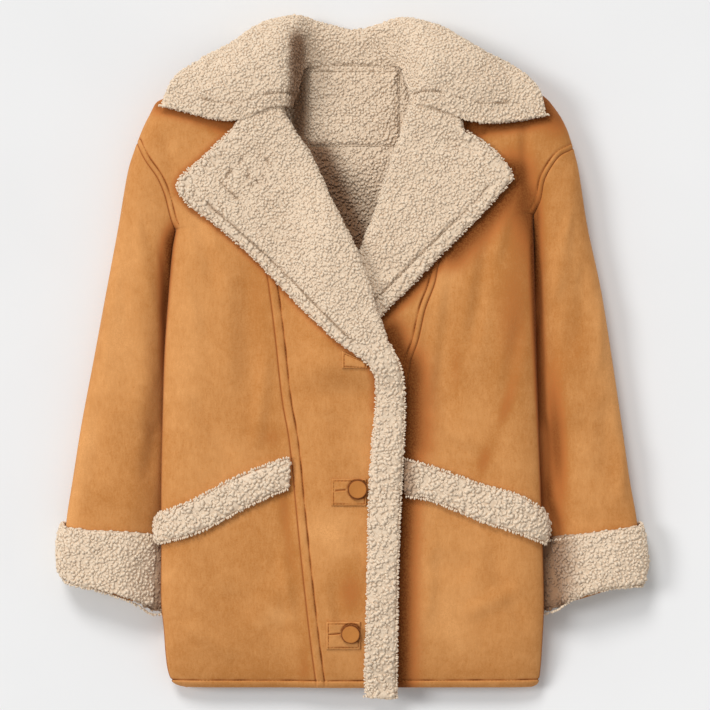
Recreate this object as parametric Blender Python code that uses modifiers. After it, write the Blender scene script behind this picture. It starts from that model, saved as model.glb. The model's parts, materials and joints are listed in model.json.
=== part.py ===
"""Shearling coat laid on its back: the pieces that are cut and sewn, as walls of cloth at real size.

+X is the wearer's left, +Y runs from the hem to the collar and +Z is up, from the surface that the
coat lies on. Sizes are in millimetres until a mesh is made. Each wall lies between an outer and an
inner surface over one grid, and whatever lies on a panel is worked out from that panel's points.
"""

from math import cos
from math import hypot
from math import pi
from math import sin

import bmesh
import bpy
from mathutils import Vector

MM = 0.001
MERGE = 0.000001

# Cloth: suede bonded to a clipped pile, and the same cloth where the long pile is turned out.
BODY_WALL = 6.5
PILE_WALL = 9.0
PATCH_WALL = 1.2
SEAM_GAP = 0.3

# Levels along the coat.
HEM_Y = -382.0
PIT_SHARE = 0.72
PIT_ROW = 14
TOP_ROW = 21
ROW_CLOSENESS = 1.25
SHOULDER_LINE_FROM = 0.45
ARMHOLE_BLEND = 0.1

# How far the body's wall takes to round over at its side, above and below the side seam, and at the
# shoulder, and how straight the lower part of the side is.
SIDE_ROUND_TOP = 46.0
SIDE_ROUND_BOTTOM = 44.0
SHOULDER_ROUND_TOP = 32.0
SHOULDER_ROUND_BOTTOM = 26.0
SIDE_POWER = 1.3
SHOULDER_GAP = 0.9
BACK_COLUMNS = 16
SIDE_COLUMNS = 9
SIDE_CLOSENESS = 1.5
CENTRE_COLUMNS = {"right": 11, "left": 8}

# Side seam of the body, hem to underarm: y, x, z.
SIDE = {
    "right": ((-382, -198, 14), (-366, -212, 18), (-338, -219, 25), (-281, -221, 33), (-212, -220, 38),
              (-143, -220, 40), (-51, -218, 40), (7, -216, 40), (64, -212, 40), (122, -207, 39),
              (145, -203, 38)),
    "left": ((-382, 214, 14), (-366, 217, 18), (-338, 218, 25), (-281, 219, 33), (-166, 217, 39),
             (-51, 213, 40), (64, 210, 40), (130, 208.5, 39), (162, 207.5, 38)),
}

# Shoulder seams and back neck, from the right shoulder tip to the left one: x, y, z.
TOP_LINE = ((-248, 245, 24), (-241, 263, 24), (-233, 279, 24), (-225, 293, 25), (-190, 304, 25),
            (-147, 315, 26), (-100, 329, 27), (-78, 338, 26), (-62, 342, 15), (-48, 343, 11),
            (0, 344, 11), (48, 343, 11), (62, 342, 15), (78, 338, 26), (100, 329, 27),
            (147, 315, 26), (190, 304, 25), (221, 293, 25), (236, 272, 24), (246, 256, 24),
            (254, 239, 24))

# Princess seams, hem to shoulder: y, x.
PRINCESS = {
    "right": ((-382, -41), (-327, -48), (-246, -57), (-177, -64), (-97, -72), (-51, -80), (30, -89),
              (90, -97), (179, -112), (260, -129), (315, -147)),
    "left": ((-382, 45), (-281, 50), (-189, 55), (-97, 57), (-10, 66), (18, 75), (53, 83), (87, 95),
             (179, 110), (260, 129), (315, 147)),
}

# Front edges of the two fronts, hem to neck: y, x. The right one laps over the left one.
FRONT_EDGE = {
    "right": ((-382, 44), (-281, 46), (-189, 47), (-97, 50), (-51, 51), (-18, 50), (13, 40), (64, 19.5),
              (113, 0), (151, -20), (185, -39), (231, -60), (281, -87), (300, -82), (338, -78)),
    "left": ((-382, -20), (-100, -20), (-30, -19), (3, -13), (14, -6), (28, -3), (64, 2.5),
             (108, 13.5), (147, 29), (185, 40.5), (220, 53), (248, 65), (281, 78), (300, 80),
             (338, 78)),
}

# Height of the fronts' outer side along the coat, away from its sides: y, z.
CROWN = ((-382, 25), (-360, 34), (-320, 45), (-250, 54), (-150, 58), (0, 60), (100, 59), (200, 54),
         (260, 50), (315, 46), (345, 44))

# The right front rises over the left one, and higher where it crosses the left lapel.
LAP_START_X = -84.0
LAP_FULL_X = -22.0
LAP_RISE = 7.2
CROSSING_RISE = 10.8
CROSSING_LOW = (-48.0, -6.0)
CROSSING_HIGH = (140.0, 232.0)

# The back is lifted at the neck by the fall of the collar beneath it.
NECK_LIFT = 11.0
NECK_LIFT_Y = (168.0, 228.0)
NECK_LIFT_X = (140.0, 100.0)

# Half of the neck edge, where the back's wall stays upright, and the way over which that fades.
NECK_HALF = 74.0
NECK_FADE = 20.0

# Largest soft folds of the fronts, from one end to the other: x, y, x, y, half width, height.
# Each one fades at its ends over a share of its length, and spreads to this many half widths.
FOLD_END = 0.3
FOLD_SPREAD = 1.6
FRONT_FOLDS = ((-120, 125, -118, -74, 15, -3.0), (-148, 130, -140, -60, 17, 2.5),
               (89, 64, 112, -97, 15, -3.0), (130, 120, 140, -40, 18, 2.2),
               (-118, -327, -60, -235, 18, 2.5), (78, -232, 140, -250, 15, -2.4))

# Sleeves as flattened rings, armhole to cuff end: station, outer x y, inner x y, outer z, inner z,
# top, bottom, shift of the front half and of the back half along the sleeve, dip at the body's side.
SLEEVE = {
    "right": ((0.00, -248, 245, -203, 145, 24, 38, 48, 0.3, -8, -8, 0),
              (0.08, -258, 214, -212, 104, 23, 26, 49, 0.3, -4, -4, 4),
              (0.20, -269, 151, -210, 62, 22, 16, 48, 0.3, 0, 0, 10),
              (0.35, -283, 76, -212, 7, 22, 12, 47, 0.3, 0, 0, 12),
              (0.50, -298, -5, -214, -62, 22, 12, 46, 0.3, 0, 0, 12),
              (0.65, -312, -79, -215, -125, 22, 12, 45, 0.3, 0, 0, 12),
              (0.76, -322, -142, -216, -174, 22, 13, 44, 1, 0, 0, 12),
              (0.84, -329, -188, -221, -212, 24, 15, 42, 9.8, 0, 0, 15),
              (0.94, -332, -235, -223, -263, 25, 15, 41, 9.8, 4, -4, 17),
              (1.00, -330, -249, -224, -284, 25, 15, 41, 9.8, 7, -4, 17),
              (1.06, -328, -257, -224, -296, 25, 15, 41, 9.8, 9, -4, 17)),
    "left": ((0.00, 254, 239, 207.5, 162, 24, 38, 48, 0.3, -8, -8, 0),
             (0.08, 260, 214, 213, 114, 23, 26, 49, 0.3, -4, -4, 4),
             (0.20, 270, 151, 208, 66, 22, 16, 48, 0.3, 0, 0, 10),
             (0.35, 286, 76, 207, 7, 22, 12, 47, 0.3, 0, 0, 12),
             (0.50, 299, -5, 208, -62, 22, 12, 46, 0.3, 0, 0, 12),
             (0.65, 310, -79, 210, -125, 22, 12, 45, 0.3, 0, 0, 12),
             (0.76, 319, -142, 212, -174, 22, 13, 44, 1, 0, 0, 12),
             (0.84, 327, -188, 219, -212, 24, 15, 42, 9.8, 0, 0, 15),
             (0.94, 331, -235, 222, -263, 25, 15, 41, 9.8, 4, -4, 17),
             (1.00, 330, -249, 223, -284, 25, 15, 41, 9.8, 7, -4, 17),
             (1.06, 329, -257, 223, -296, 25, 15, 41, 9.8, 9, -4, 17)),
}
SLEEVE_END = 1.0
SLEEVE_RINGS = 14
SLEEVE_CLEARANCE = 0.2
RING_POWER = 0.8
RING_SIDES = 20
DIP_FROM = 0.2
DIP_OVER = 0.7

# The turned-up cuff around the sleeve's end, as a closed outline: station, distance from the sleeve.
CUFF_OUTLINE = ((0.850, 1.2), (0.844, 4.0), (0.855, 8.0), (0.885, 9.8), (0.970, 9.8), (1.030, 9.6),
                (1.056, 6.0), (1.058, 0.0), (1.045, -5.0), (1.020, -6.8), (1.006, -4.0),
                (1.006, 1.0), (0.955, 1.2), (0.900, 1.2))

# Turned-out facings, from their foot to the gorge: share, roll x y, outer edge x y.
FACING = {
    "right": ((0.00, 53, -392, 13, -390), (0.04, 54, -370, 11, -370), (0.12, 54.5, -320, 12, -320),
              (0.24, 55, -240, 15, -240), (0.35, 56.5, -165, 18, -165), (0.44, 59, -97, 21, -103),
              (0.51, 60, -51, 24.5, -52), (0.56, 59, -18, 21, -8), (0.61, 51, 8, -14, 26),
              (0.68, 37, 44, -60, 64), (0.76, 21, 88, -112, 116), (0.83, 3, 128, -160, 154),
              (0.88, -16, 166, -188, 177), (0.92, -30, 195, -202, 199), (0.96, -48, 234, -172, 230),
              (1.00, -76, 279, -136, 262)),
    "left": ((0.00, -18, 18, 10, 1), (0.16, -12, 52, 36, 42), (0.32, -3, 88, 72, 74),
             (0.46, 8, 122, 108, 108), (0.60, 20, 154, 147, 145), (0.72, 27.5, 177, 172, 174),
             (0.82, 33, 198, 185, 200), (0.89, 43, 225, 176, 226), (0.95, 53, 252, 154, 246),
             (1.00, 62, 281, 131, 258)),
}
FACING_ROWS = {"right": 32, "left": 15}
# Its outline across: distance from the roll, then the height over the front's outer side.
LIP_OUTLINE = ((8.3, -6.3), (4.0, -6.3), (1.2, -3.2), (0.0, 1.6), (1.2, 6.2), (4.2, 9.0), (9.5, 9.7))
LEAF_UNDER = {"right": 1.3, "left": 0.6}
LEAF_EDGE = ((3.5, 9.2), (0.4, 6.6), (0.0, 3.2))
LEAF_EDGE_UNDER = 1.6
LEAF_TOP = 10.2
LEAF_SHARES = (0.12, 0.28, 0.46, 0.65, 0.84)

# Collar as a centre line across it at each station from the right front to the centre back: share,
# then x, y, z of the neck seam, stand top, turn, middle of the fall and outer edge.
COLLAR = ((0.000, -71, 286, 46, -79, 288, 61, -93, 285, 63, -137, 271, 59, -221, 289, 52),
          (0.090, -66, 306, 44, -80, 311, 66, -95, 312, 68, -142, 307, 62, -207, 317, 47),
          (0.180, -62, 325, 38, -79, 335, 64, -95, 340, 66, -139, 340, 56, -176, 339, 32),
          (0.260, -57, 338, 28, -74, 360, 54, -90, 366, 55, -120, 368, 42, -139, 354, 18),
          (0.325, -49, 344, 22, -62, 379, 38, -77, 386, 37, -97, 381, 24, -107, 352, 8),
          (0.380, -39, 345, 18, -51, 380, 28, -60, 388, 19, -72, 366, 7.2, -83, 330, 5.4),
          (0.440, -20, 345.5, 17, -27, 373, 20, -30, 379, 11.2, -35, 348, 5.4, -42, 300, 5.4),
          (0.500, 0, 346, 17, 0, 368, 18.5, 0, 373, 10, 0, 343, 5.4, 0, 292, 5.4))
COLLAR_ACROSS = (0.0, 0.28, 0.42, 0.66, 1.0)
COLLAR_COLUMNS = (0.0, 0.14, 0.25, 0.32, 0.38, 0.44, 0.52, 0.66, 0.82, 1.0)
COLLAR_ROWS = 30
COLLAR_STEP = 0.002
LEFT_TIP_DROP = 11.0
TIP_DROP_FROM = 110.0
TIP_DROP_OVER = 90.0

# Pocket welts: distance in from the side seam, then y of the upper and of the lower edge.
WELT = {
    "right": ((0, -181, -217), (45, -160, -205), (80, -141, -190), (115, -126, -172),
              (152, -114, -154)),
    "left": ((0, -178, -217), (23, -160, -206), (69, -146, -190), (127, -125, -166), (156, -117, -162)),
}
WELT_OUTLINE = ((0.03, 0.3), (0.0, 3.0), (0.05, 6.8), (0.18, 9.0), (0.5, 9.4), (0.82, 9.0), (0.95, 6.8),
                (1.0, 3.0), (0.97, 0.3), (0.65, 0.3), (0.35, 0.3))
WELT_ROWS = 9
WELT_CLOSENESS = 1.4

# Buttonhole patches on the right front, corner by corner: x, y.
PATCHES = {
    "top": ((-12, -14), (17, -14), (17, -8), (-12, 6)),
    "middle": ((-24, -171), (16, -171), (16, -140), (-24, -140)),
    "lower": ((-30, -336), (9, -336), (9, -304), (-30, -304)),
}
BUTTONS = {"middle": (6.0, -152.0), "lower": (-1.5, -317.0)}
PATCH_COLUMNS = 4
PATCH_ROWS = 3
NECK_PATCH = ((-49, 244), (52, 244), (52, 327), (-49, 327))
NECK_PATCH_WALL = 3.0
PATCH_SEAT = 0.8

# Covered button, turned from a profile given in shares of its radius and of its thickness.
BUTTON_RADIUS = 11.0
BUTTON_THICK = 5.2
BUTTON_PROFILE = ((0.0, 1.0), (0.55, 0.97), (0.82, 0.86), (0.96, 0.62), (1.0, 0.4), (0.95, 0.16),
                  (0.8, 0.0), (0.0, 0.0))
BUTTON_STEPS = 20
BUTTON_MERGE = 0.00001

SUEDE = ("suede", (0.58, 0.25, 0.075), 0.92)
PILE = ("sherpa_pile", (0.73, 0.60, 0.44), 1.0)
LINING = ("lining_pile", (0.70, 0.56, 0.41), 1.0)
BUTTON = ("covered_button", (0.55, 0.23, 0.07), 0.9)


def clamp(value):
    return min(max(value, 0.0), 1.0)


def smooth(value):
    """Ramp from 0 to 1 with soft ends."""
    value = clamp(value)
    return value * value * (3.0 - 2.0 * value)


def mix(low, high, share):
    return low + (high - low) * share


def quarter(share, power=2.0):
    """Rise of a rounded edge: steep at 0 and level at 1."""
    return (1.0 - (1.0 - clamp(share)) ** power) ** (1.0 / power)


def signed_power(value, power):
    return abs(value) ** power if value >= 0 else -abs(value) ** power


def along(rows, where):
    """Read a table at a value of its first column, on a smooth curve through its rows."""
    where = min(max(where, rows[0][0]), rows[-1][0])
    first = 0
    while first < len(rows) - 2 and where > rows[first + 1][0]:
        first += 1
    before = rows[max(first - 1, 0)]
    low = rows[first]
    high = rows[first + 1]
    after = rows[min(first + 2, len(rows) - 1)]
    span = high[0] - low[0]
    t = (where - low[0]) / span
    result = []
    for k in range(1, len(low)):
        slope_low = (high[k] - before[k]) / (high[0] - before[0]) * span
        slope_high = (after[k] - low[k]) / (after[0] - low[0]) * span
        result.append(low[k] * (1 + 2 * t) * (1 - t) ** 2 + slope_low * t * (1 - t) ** 2
                      + high[k] * t * t * (3 - 2 * t) + slope_high * t * t * (t - 1))
    return result


def side_sign(side):
    return -1.0 if side == "right" else 1.0


# Surfaces of the body.

def fold_height(x, y):
    """Soft folds of the fronts at a place."""
    total = 0.0
    for start_x, start_y, end_x, end_y, half_width, height in FRONT_FOLDS:
        run = Vector((end_x - start_x, end_y - start_y))
        reach = Vector((x - start_x, y - start_y))
        share = reach.dot(run) / run.length_squared
        aside = abs(reach.x * run.y - reach.y * run.x) / run.length
        ends = smooth(share / FOLD_END) * smooth((1.0 - share) / FOLD_END)
        total += height * ends * (1.0 - smooth(aside / (FOLD_SPREAD * half_width)))
    return total


def lap_rise(x, y):
    """How far the right front is lifted by what it laps over."""
    crossing = smooth((y - CROSSING_LOW[0]) / (CROSSING_LOW[1] - CROSSING_LOW[0]))
    crossing *= 1.0 - smooth((y - CROSSING_HIGH[0]) / (CROSSING_HIGH[1] - CROSSING_HIGH[0]))
    plain = 1.0 - smooth((y - CROSSING_HIGH[0]) / (CROSSING_HIGH[1] - CROSSING_HIGH[0]))
    across = smooth((x - LAP_START_X) / (LAP_FULL_X - LAP_START_X))
    return across * (LAP_RISE * plain + CROSSING_RISE * crossing)


def front_height(side, x, y):
    """Height of a front's outer side, away from the body's side."""
    top_y, top_z = along(TOP_LINE, x)
    (crown,) = along(CROWN, y)
    rounding = quarter((top_y - y) / SHOULDER_ROUND_TOP)
    height = mix(top_z + SHOULDER_GAP / 2, crown + fold_height(x, y), rounding)
    if side == "right":
        height += lap_rise(x, y)
    return height


def neck_lift(x, y):
    """Height of the back's underside over the floor, where the collar's fall lies beneath it."""
    lift_y = smooth((y - NECK_LIFT_Y[0]) / (NECK_LIFT_Y[1] - NECK_LIFT_Y[0]))
    lift_x = smooth((NECK_LIFT_X[0] - abs(x)) / (NECK_LIFT_X[0] - NECK_LIFT_X[1]))
    return NECK_LIFT * lift_x * lift_y


def sleeve_ring(side, station, angle, grow):
    """Point of a sleeve's ring: angle 0 is at the body, half a turn is at the outer fold."""
    row = along(SLEEVE[side], station)
    outer_x, outer_y, inner_x, inner_y, outer_z, inner_z, top, bottom, front_shift, back_shift, dip = row
    width = hypot(inner_x - outer_x, inner_y - outer_y)
    across = Vector((inner_x - outer_x, inner_y - outer_y, 0.0)) / width
    down = Vector((-across.y, across.x, 0.0)) * side_sign(side)
    turn_x = signed_power(cos(angle), RING_POWER)
    turn_z = signed_power(sin(angle), RING_POWER)
    middle_z = mix(outer_z, inner_z, 0.5 + 0.5 * turn_x)
    if turn_z >= 0:
        lowered_top = top - dip * smooth((turn_x - DIP_FROM) / DIP_OVER)
        rise = (lowered_top + grow - middle_z) * turn_z
        shift = front_shift * turn_z
    else:
        rise = (middle_z - (bottom - grow)) * turn_z
        shift = -back_shift * turn_z
    centre = Vector(((outer_x + inner_x) / 2, (outer_y + inner_y) / 2, middle_z + rise))
    return centre + across * (width / 2 + grow) * turn_x + down * shift


def armhole(side, turn, grow):
    """Point of the armhole on the body: turn 0 at the underarm, 1 or -1 at the shoulder tip."""
    row = SLEEVE[side][0]
    across = Vector((row[3] - row[1], row[4] - row[2], 0.0)).normalized()
    down = Vector((-across.y, across.x, 0.0)) * side_sign(side)
    return sleeve_ring(side, 0.0, turn * pi, grow) - down * SEAM_GAP


def side_edge(side, share, front):
    """Outer edge of a body panel at its side: the point, and the way from the inner to the outer wall."""
    lift = Vector((0, 0, SEAM_GAP / 2 if front else -SEAM_GAP / 2))
    pit_y = SLEEVE[side][0][4]
    if share < PIT_SHARE - 0.0001:
        y = mix(HEM_Y, pit_y, share / PIT_SHARE)
        x, z = along(SIDE[side], y)
        return Vector((x, y, z)) + lift, Vector((side_sign(side) * BODY_WALL, 0, 0))
    turn = (share - PIT_SHARE) / (1.0 - PIT_SHARE)
    if not front:
        turn = -turn
    outer = armhole(side, turn, 0.0)
    return outer + lift, outer - armhole(side, turn, -BODY_WALL)


def top_edge(x, front):
    """Top edge of a body panel: the point, and the way from the inner to the outer wall."""
    y, z = along(TOP_LINE, x)
    ahead = along(TOP_LINE, x + 1.0)[0]
    behind = along(TOP_LINE, x - 1.0)[0]
    normal = Vector((behind - ahead, 2.0, 0.0)).normalized()
    gap = SHOULDER_GAP / 2 if front else -SHOULDER_GAP / 2
    return Vector((x, y, z + gap)), normal * BODY_WALL


def top_weight(share):
    """How far a row follows the shoulder line instead of the straight line across."""
    return smooth((share - SHOULDER_LINE_FROM) / (1.0 - SHOULDER_LINE_FROM)) ** 2


def side_front_point(side, u, share):
    """Outer point of a side front and its wall: u runs from the side to the princess seam."""
    edge, edge_wall = side_edge(side, share, True)
    seam_y = mix(HEM_Y, PRINCESS[side][-1][0], share)
    gap = side_sign(side) * SEAM_GAP / 2
    seam = Vector((along(PRINCESS[side], seam_y)[0] + gap, seam_y, 0.0))
    tip = side_edge(side, 1.0, True)[0]
    shoulder_x = mix(tip.x, PRINCESS[side][-1][1] + gap, u)
    shoulder, top_wall = top_edge(shoulder_x, True)
    straight_y = mix(tip.y, PRINCESS[side][-1][0], u)
    x = mix(edge.x, seam.x, u)
    y = mix(edge.y, seam.y, u) + top_weight(share) * (shoulder.y - straight_y)
    reach = abs(x - edge.x) / SIDE_ROUND_TOP
    upright = quarter(reach)
    slanted = smooth(0.5 + 0.5 * reach) * 2 - 1
    rounded = mix(upright, slanted, smooth((share - PIT_SHARE) / ARMHOLE_BLEND))
    height = mix(edge.z, front_height(side, x, y), rounded)
    near_top = quarter((along(TOP_LINE, x)[0] - y) / SHOULDER_ROUND_TOP)
    wall = Vector((0, 0, BODY_WALL)) * near_top * rounded + edge_wall * (1 - rounded)
    wall += top_wall * (1 - near_top) * rounded
    return Vector((x, y, height)), wall.normalized() * BODY_WALL


def centre_front_point(side, u, share):
    """Outer point of a centre front and its wall: u runs from the princess seam to the front edge."""
    seam_y = mix(HEM_Y, PRINCESS[side][-1][0], share)
    edge_y = mix(HEM_Y, FRONT_EDGE[side][-1][0], share)
    gap = side_sign(side) * SEAM_GAP / 2
    seam_x = along(PRINCESS[side], seam_y)[0] - gap
    x = mix(seam_x, along(FRONT_EDGE[side], edge_y)[0], u)
    y = mix(seam_y, edge_y, u)
    shoulder_x = mix(PRINCESS[side][-1][1], FRONT_EDGE[side][-1][1], u)
    shoulder, top_wall = top_edge(shoulder_x, True)
    straight_y = mix(PRINCESS[side][-1][0], FRONT_EDGE[side][-1][0], u)
    y += top_weight(share) * (shoulder.y - straight_y)
    near_top = quarter((along(TOP_LINE, x)[0] - y) / SHOULDER_ROUND_TOP)
    wall = Vector((0, 0, BODY_WALL)) * near_top + top_wall * (1 - near_top)
    return Vector((x, y, front_height(side, x, y) + SEAM_GAP / 2)), wall.normalized() * BODY_WALL


def back_point(u, share):
    """Outer point of the back and its wall: u runs from the right side to the left side."""
    right, right_wall = side_edge("right", share, False)
    left, left_wall = side_edge("left", share, False)
    right_tip = side_edge("right", 1.0, False)[0]
    left_tip = side_edge("left", 1.0, False)[0]
    x = mix(right.x, left.x, u)
    shoulder, top_wall = top_edge(mix(right_tip.x, left_tip.x, u), False)
    straight_y = mix(right_tip.y, left_tip.y, u)
    y = mix(right.y, left.y, u) + top_weight(share) * (shoulder.y - straight_y)
    if u < 0.5:
        edge, edge_wall = right, right_wall
    else:
        edge, edge_wall = left, left_wall
    rounded = quarter(abs(x - edge.x) / SIDE_ROUND_BOTTOM, SIDE_POWER)
    top_y, top_z = along(TOP_LINE, x)
    near_top = quarter((top_y - y) / SHOULDER_ROUND_BOTTOM)
    level = mix(max(top_z, neck_lift(x, y)), neck_lift(x, y), near_top)
    height = mix(edge.z, level - SHOULDER_GAP / 2 * (1 - near_top), rounded)
    at_neck = smooth((NECK_HALF - abs(x)) / NECK_FADE)
    near_top = mix(near_top, 1.0, at_neck)
    wall = Vector((0, 0, -BODY_WALL)) * near_top * rounded + edge_wall * (1 - rounded)
    wall += top_wall * (1 - near_top) * rounded
    return Vector((x, y, height)), wall.normalized() * BODY_WALL


def facing_top(side, x, y, height):
    return Vector((x, y, front_height(side, x, y) + height))


# Mesh makers.

def finished(name, mesh, finish):
    """Object of a finished mesh, in the coat's collection, with its own material."""
    slot, colour, roughness = finish
    material = bpy.data.materials.get(slot)
    if material is None:
        material = bpy.data.materials.new(slot)
        material.use_nodes = True
        shader = material.node_tree.nodes["Principled BSDF"]
        shader.inputs["Base Color"].default_value = (*colour, 1.0)
        shader.inputs["Roughness"].default_value = roughness
        shader.inputs["Metallic"].default_value = 0.0
        material.diffuse_color = (*colour, 1.0)
    mesh.materials.append(material)
    piece = bpy.data.objects.new(name, mesh)
    bpy.data.collections["shearling_coat"].objects.link(piece)
    mesh.shade_smooth()
    return piece


def moved_grid(bm, columns, rows, point):
    """Grid whose vertices are moved to point(column, row)."""
    last_column = len(columns) - 1
    last_row = len(rows) - 1
    made = bmesh.ops.create_grid(bm, x_segments=last_column, y_segments=last_row, size=0.5)
    for vert in made["verts"]:
        column = columns[round((vert.co.x + 0.5) * last_column)]
        row = rows[round((vert.co.y + 0.5) * last_row)]
        vert.co = point(column, row) * MM
    return made["verts"]


def as_mesh(bm, name):
    bmesh.ops.recalc_face_normals(bm, faces=bm.faces)
    mesh = bpy.data.meshes.new(name)
    bm.to_mesh(mesh)
    bm.free()
    return mesh


def wall_piece(name, columns, rows, point, finish):
    """Panel of cloth between its outer points and the inner ones, joined around its edge."""
    bm = bmesh.new()
    moved_grid(bm, columns, rows, lambda column, row: point(column, row)[0])
    moved_grid(bm, columns, rows, lambda column, row: point(column, row)[0] - point(column, row)[1])
    rims = [edge for edge in bm.edges if edge.is_boundary]
    bmesh.ops.bridge_loops(bm, edges=rims)
    return finished(name, as_mesh(bm, name), finish)


def ring_piece(name, outline_count, station_count, point, finish, closed):
    """Loft of closed outlines along stations; closed also joins the last station to the first."""
    bm = bmesh.new()
    outline = [k / outline_count for k in range(outline_count + 1)]
    stations = [k / station_count for k in range(station_count + 1)]
    moved_grid(bm, outline, stations, point)
    bmesh.ops.remove_doubles(bm, verts=bm.verts, dist=MERGE)
    if not closed:
        rims = [edge for edge in bm.edges if edge.is_boundary]
        bmesh.ops.holes_fill(bm, edges=rims, sides=0)
        caps = [face for face in bm.faces if len(face.verts) > 4]
        bmesh.ops.triangulate(bm, faces=caps, ngon_method="EAR_CLIP")
    return finished(name, as_mesh(bm, name), finish)


def spaced(count, power=1.0):
    """Shares from 0 to 1, closer together near 0 for a power over 1."""
    return [(k / count) ** power for k in range(count + 1)]


def both_ends(count, power):
    """Shares from 0 to 1, closer together near both ends."""
    shares = []
    for k in range(count + 1):
        way = 2.0 * k / count - 1.0
        reach = 0.5 - 0.5 * (1.0 - abs(way)) ** power
        shares.append(0.5 + reach if way >= 0 else 0.5 - reach)
    return shares


def body_rows():
    """Rows from the hem to the shoulder, with one on the underarm."""
    low = [PIT_SHARE * (k / PIT_ROW) ** ROW_CLOSENESS for k in range(PIT_ROW)]
    above = TOP_ROW - PIT_ROW
    high = [PIT_SHARE + (1.0 - PIT_SHARE) * k / above for k in range(above + 1)]
    return low + high


# Pieces.

def make_body():
    rows = body_rows()
    wall_piece("back", both_ends(BACK_COLUMNS, SIDE_CLOSENESS), rows, back_point, SUEDE)
    for side in ("right", "left"):
        wall_piece("side_front_" + side, spaced(SIDE_COLUMNS, SIDE_CLOSENESS), rows,
                   lambda u, v, side=side: side_front_point(side, u, v), SUEDE)
        wall_piece("centre_front_" + side, spaced(CENTRE_COLUMNS[side]), rows,
                   lambda u, v, side=side: centre_front_point(side, u, v), SUEDE)


def make_sleeve(side):
    """Tube between an outer and an inner ring at each station, open at the armhole and the cuff."""
    stations = [k / SLEEVE_RINGS * SLEEVE_END for k in range(SLEEVE_RINGS + 1)]
    outline = [(station, 0.0) for station in stations]
    outline += [(station, -BODY_WALL) for station in reversed(stations)]
    shift = Vector((side_sign(side) * SLEEVE_CLEARANCE, -SLEEVE_CLEARANCE, 0.0))

    def point(u, v):
        station, grow = outline[round(u * len(outline)) % len(outline)]
        return sleeve_ring(side, station, 2 * pi * (v % 1.0), grow) + shift

    ring_piece("sleeve_" + side, len(outline), RING_SIDES, point, SUEDE, True)


def make_cuff(side):
    """Turned-up cuff: a ring around the sleeve's end that also covers its cut edge."""
    def point(u, v):
        station, grow = CUFF_OUTLINE[round(u * len(CUFF_OUTLINE)) % len(CUFF_OUTLINE)]
        return sleeve_ring(side, station, 2 * pi * (v % 1.0), grow)

    ring_piece("cuff_" + side, len(CUFF_OUTLINE), RING_SIDES, point, PILE, True)


def facing_outline(side, width):
    """Closed outline across a facing of a given width: distance from the roll, height."""
    under = LEAF_UNDER[side]
    outline = list(LIP_OUTLINE)
    start = LIP_OUTLINE[-1][0]
    end = width - LEAF_EDGE[0][0]
    outline += [(mix(start, end, share), LEAF_TOP) for share in LEAF_SHARES]
    outline += [(width - inset, height) for inset, height in LEAF_EDGE]
    outline.append((width - LEAF_EDGE_UNDER, under))
    outline += [(mix(start, end, share), under) for share in reversed(LEAF_SHARES)]
    outline.append((LIP_OUTLINE[0][0], under))
    return outline


def make_facing(name, side):
    """Facing that wraps the front's edge and lies on the front, as lapel and as band."""
    any_width = 100.0
    count = len(facing_outline(side, any_width))

    def point(u, v):
        roll_x, roll_y, edge_x, edge_y = along(FACING[side], v)
        run = Vector((edge_x - roll_x, edge_y - roll_y))
        distance, height = facing_outline(side, run.length)[round(u * count) % count]
        place = Vector((roll_x, roll_y)) + run.normalized() * distance
        return facing_top(side, place.x, place.y, height)

    ring_piece(name, count, FACING_ROWS[side], point, PILE, False)


def collar_centre(across, share):
    """Point on the middle of the collar's wall; the left half mirrors the right one."""
    mirrored = share > 0.5
    row = along(COLLAR, 1.0 - share if mirrored else share)
    stops = [(stop, *row[3 * k:3 * k + 3]) for k, stop in enumerate(COLLAR_ACROSS)]
    x, y, z = along(stops, across)
    if mirrored:
        x = -x
        y -= LEFT_TIP_DROP * across * smooth((x - TIP_DROP_FROM) / TIP_DROP_OVER)
    return Vector((x, y, z))


def collar_point(u, v):
    """Outer point of the collar and its wall, square to the way across it and along it."""
    step = COLLAR_STEP
    to_edge = collar_centre(min(u + step, 1.0), v) - collar_centre(max(u - step, 0.0), v)
    to_left = collar_centre(u, min(v + step, 1.0)) - collar_centre(u, max(v - step, 0.0))
    wall = to_edge.cross(to_left).normalized() * PILE_WALL
    return collar_centre(u, v) + wall / 2, wall


def make_welt(side):
    """Strip of pile on the side front, from the princess seam to the side seam."""
    rows = WELT[side]
    reach = rows[-1][0]

    def point(u, v):
        distance = reach * v ** WELT_CLOSENESS
        upper, lower = along(rows, distance)
        share, height = WELT_OUTLINE[round(u * len(WELT_OUTLINE)) % len(WELT_OUTLINE)]
        y = mix(upper, lower, share)
        edge_x, edge_z = along(SIDE[side], y)
        x = edge_x - side_sign(side) * distance
        rounded = quarter(distance / SIDE_ROUND_TOP)
        z = mix(edge_z, front_height(side, x, y), rounded)
        out = Vector((side_sign(side) * (1 - rounded), 0, rounded)).normalized()
        return Vector((x, y, z)) + out * (height + SEAM_GAP)

    ring_piece("pocket_welt_" + side, len(WELT_OUTLINE), WELT_ROWS, point, PILE, False)


def flat_patch(name, corners, surface, wall, finish):
    """Four-sided patch lying on a surface given as a height over x and y."""
    lower_left, lower_right, upper_right, upper_left = [Vector(corner) for corner in corners]

    def point(u, v):
        place = lower_left.lerp(lower_right, u).lerp(upper_left.lerp(upper_right, u), v)
        height = surface(place.x, place.y) + PATCH_SEAT + wall
        return Vector((place.x, place.y, height)), Vector((0, 0, wall))

    wall_piece(name, spaced(PATCH_COLUMNS), spaced(PATCH_ROWS), point, finish)


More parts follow.
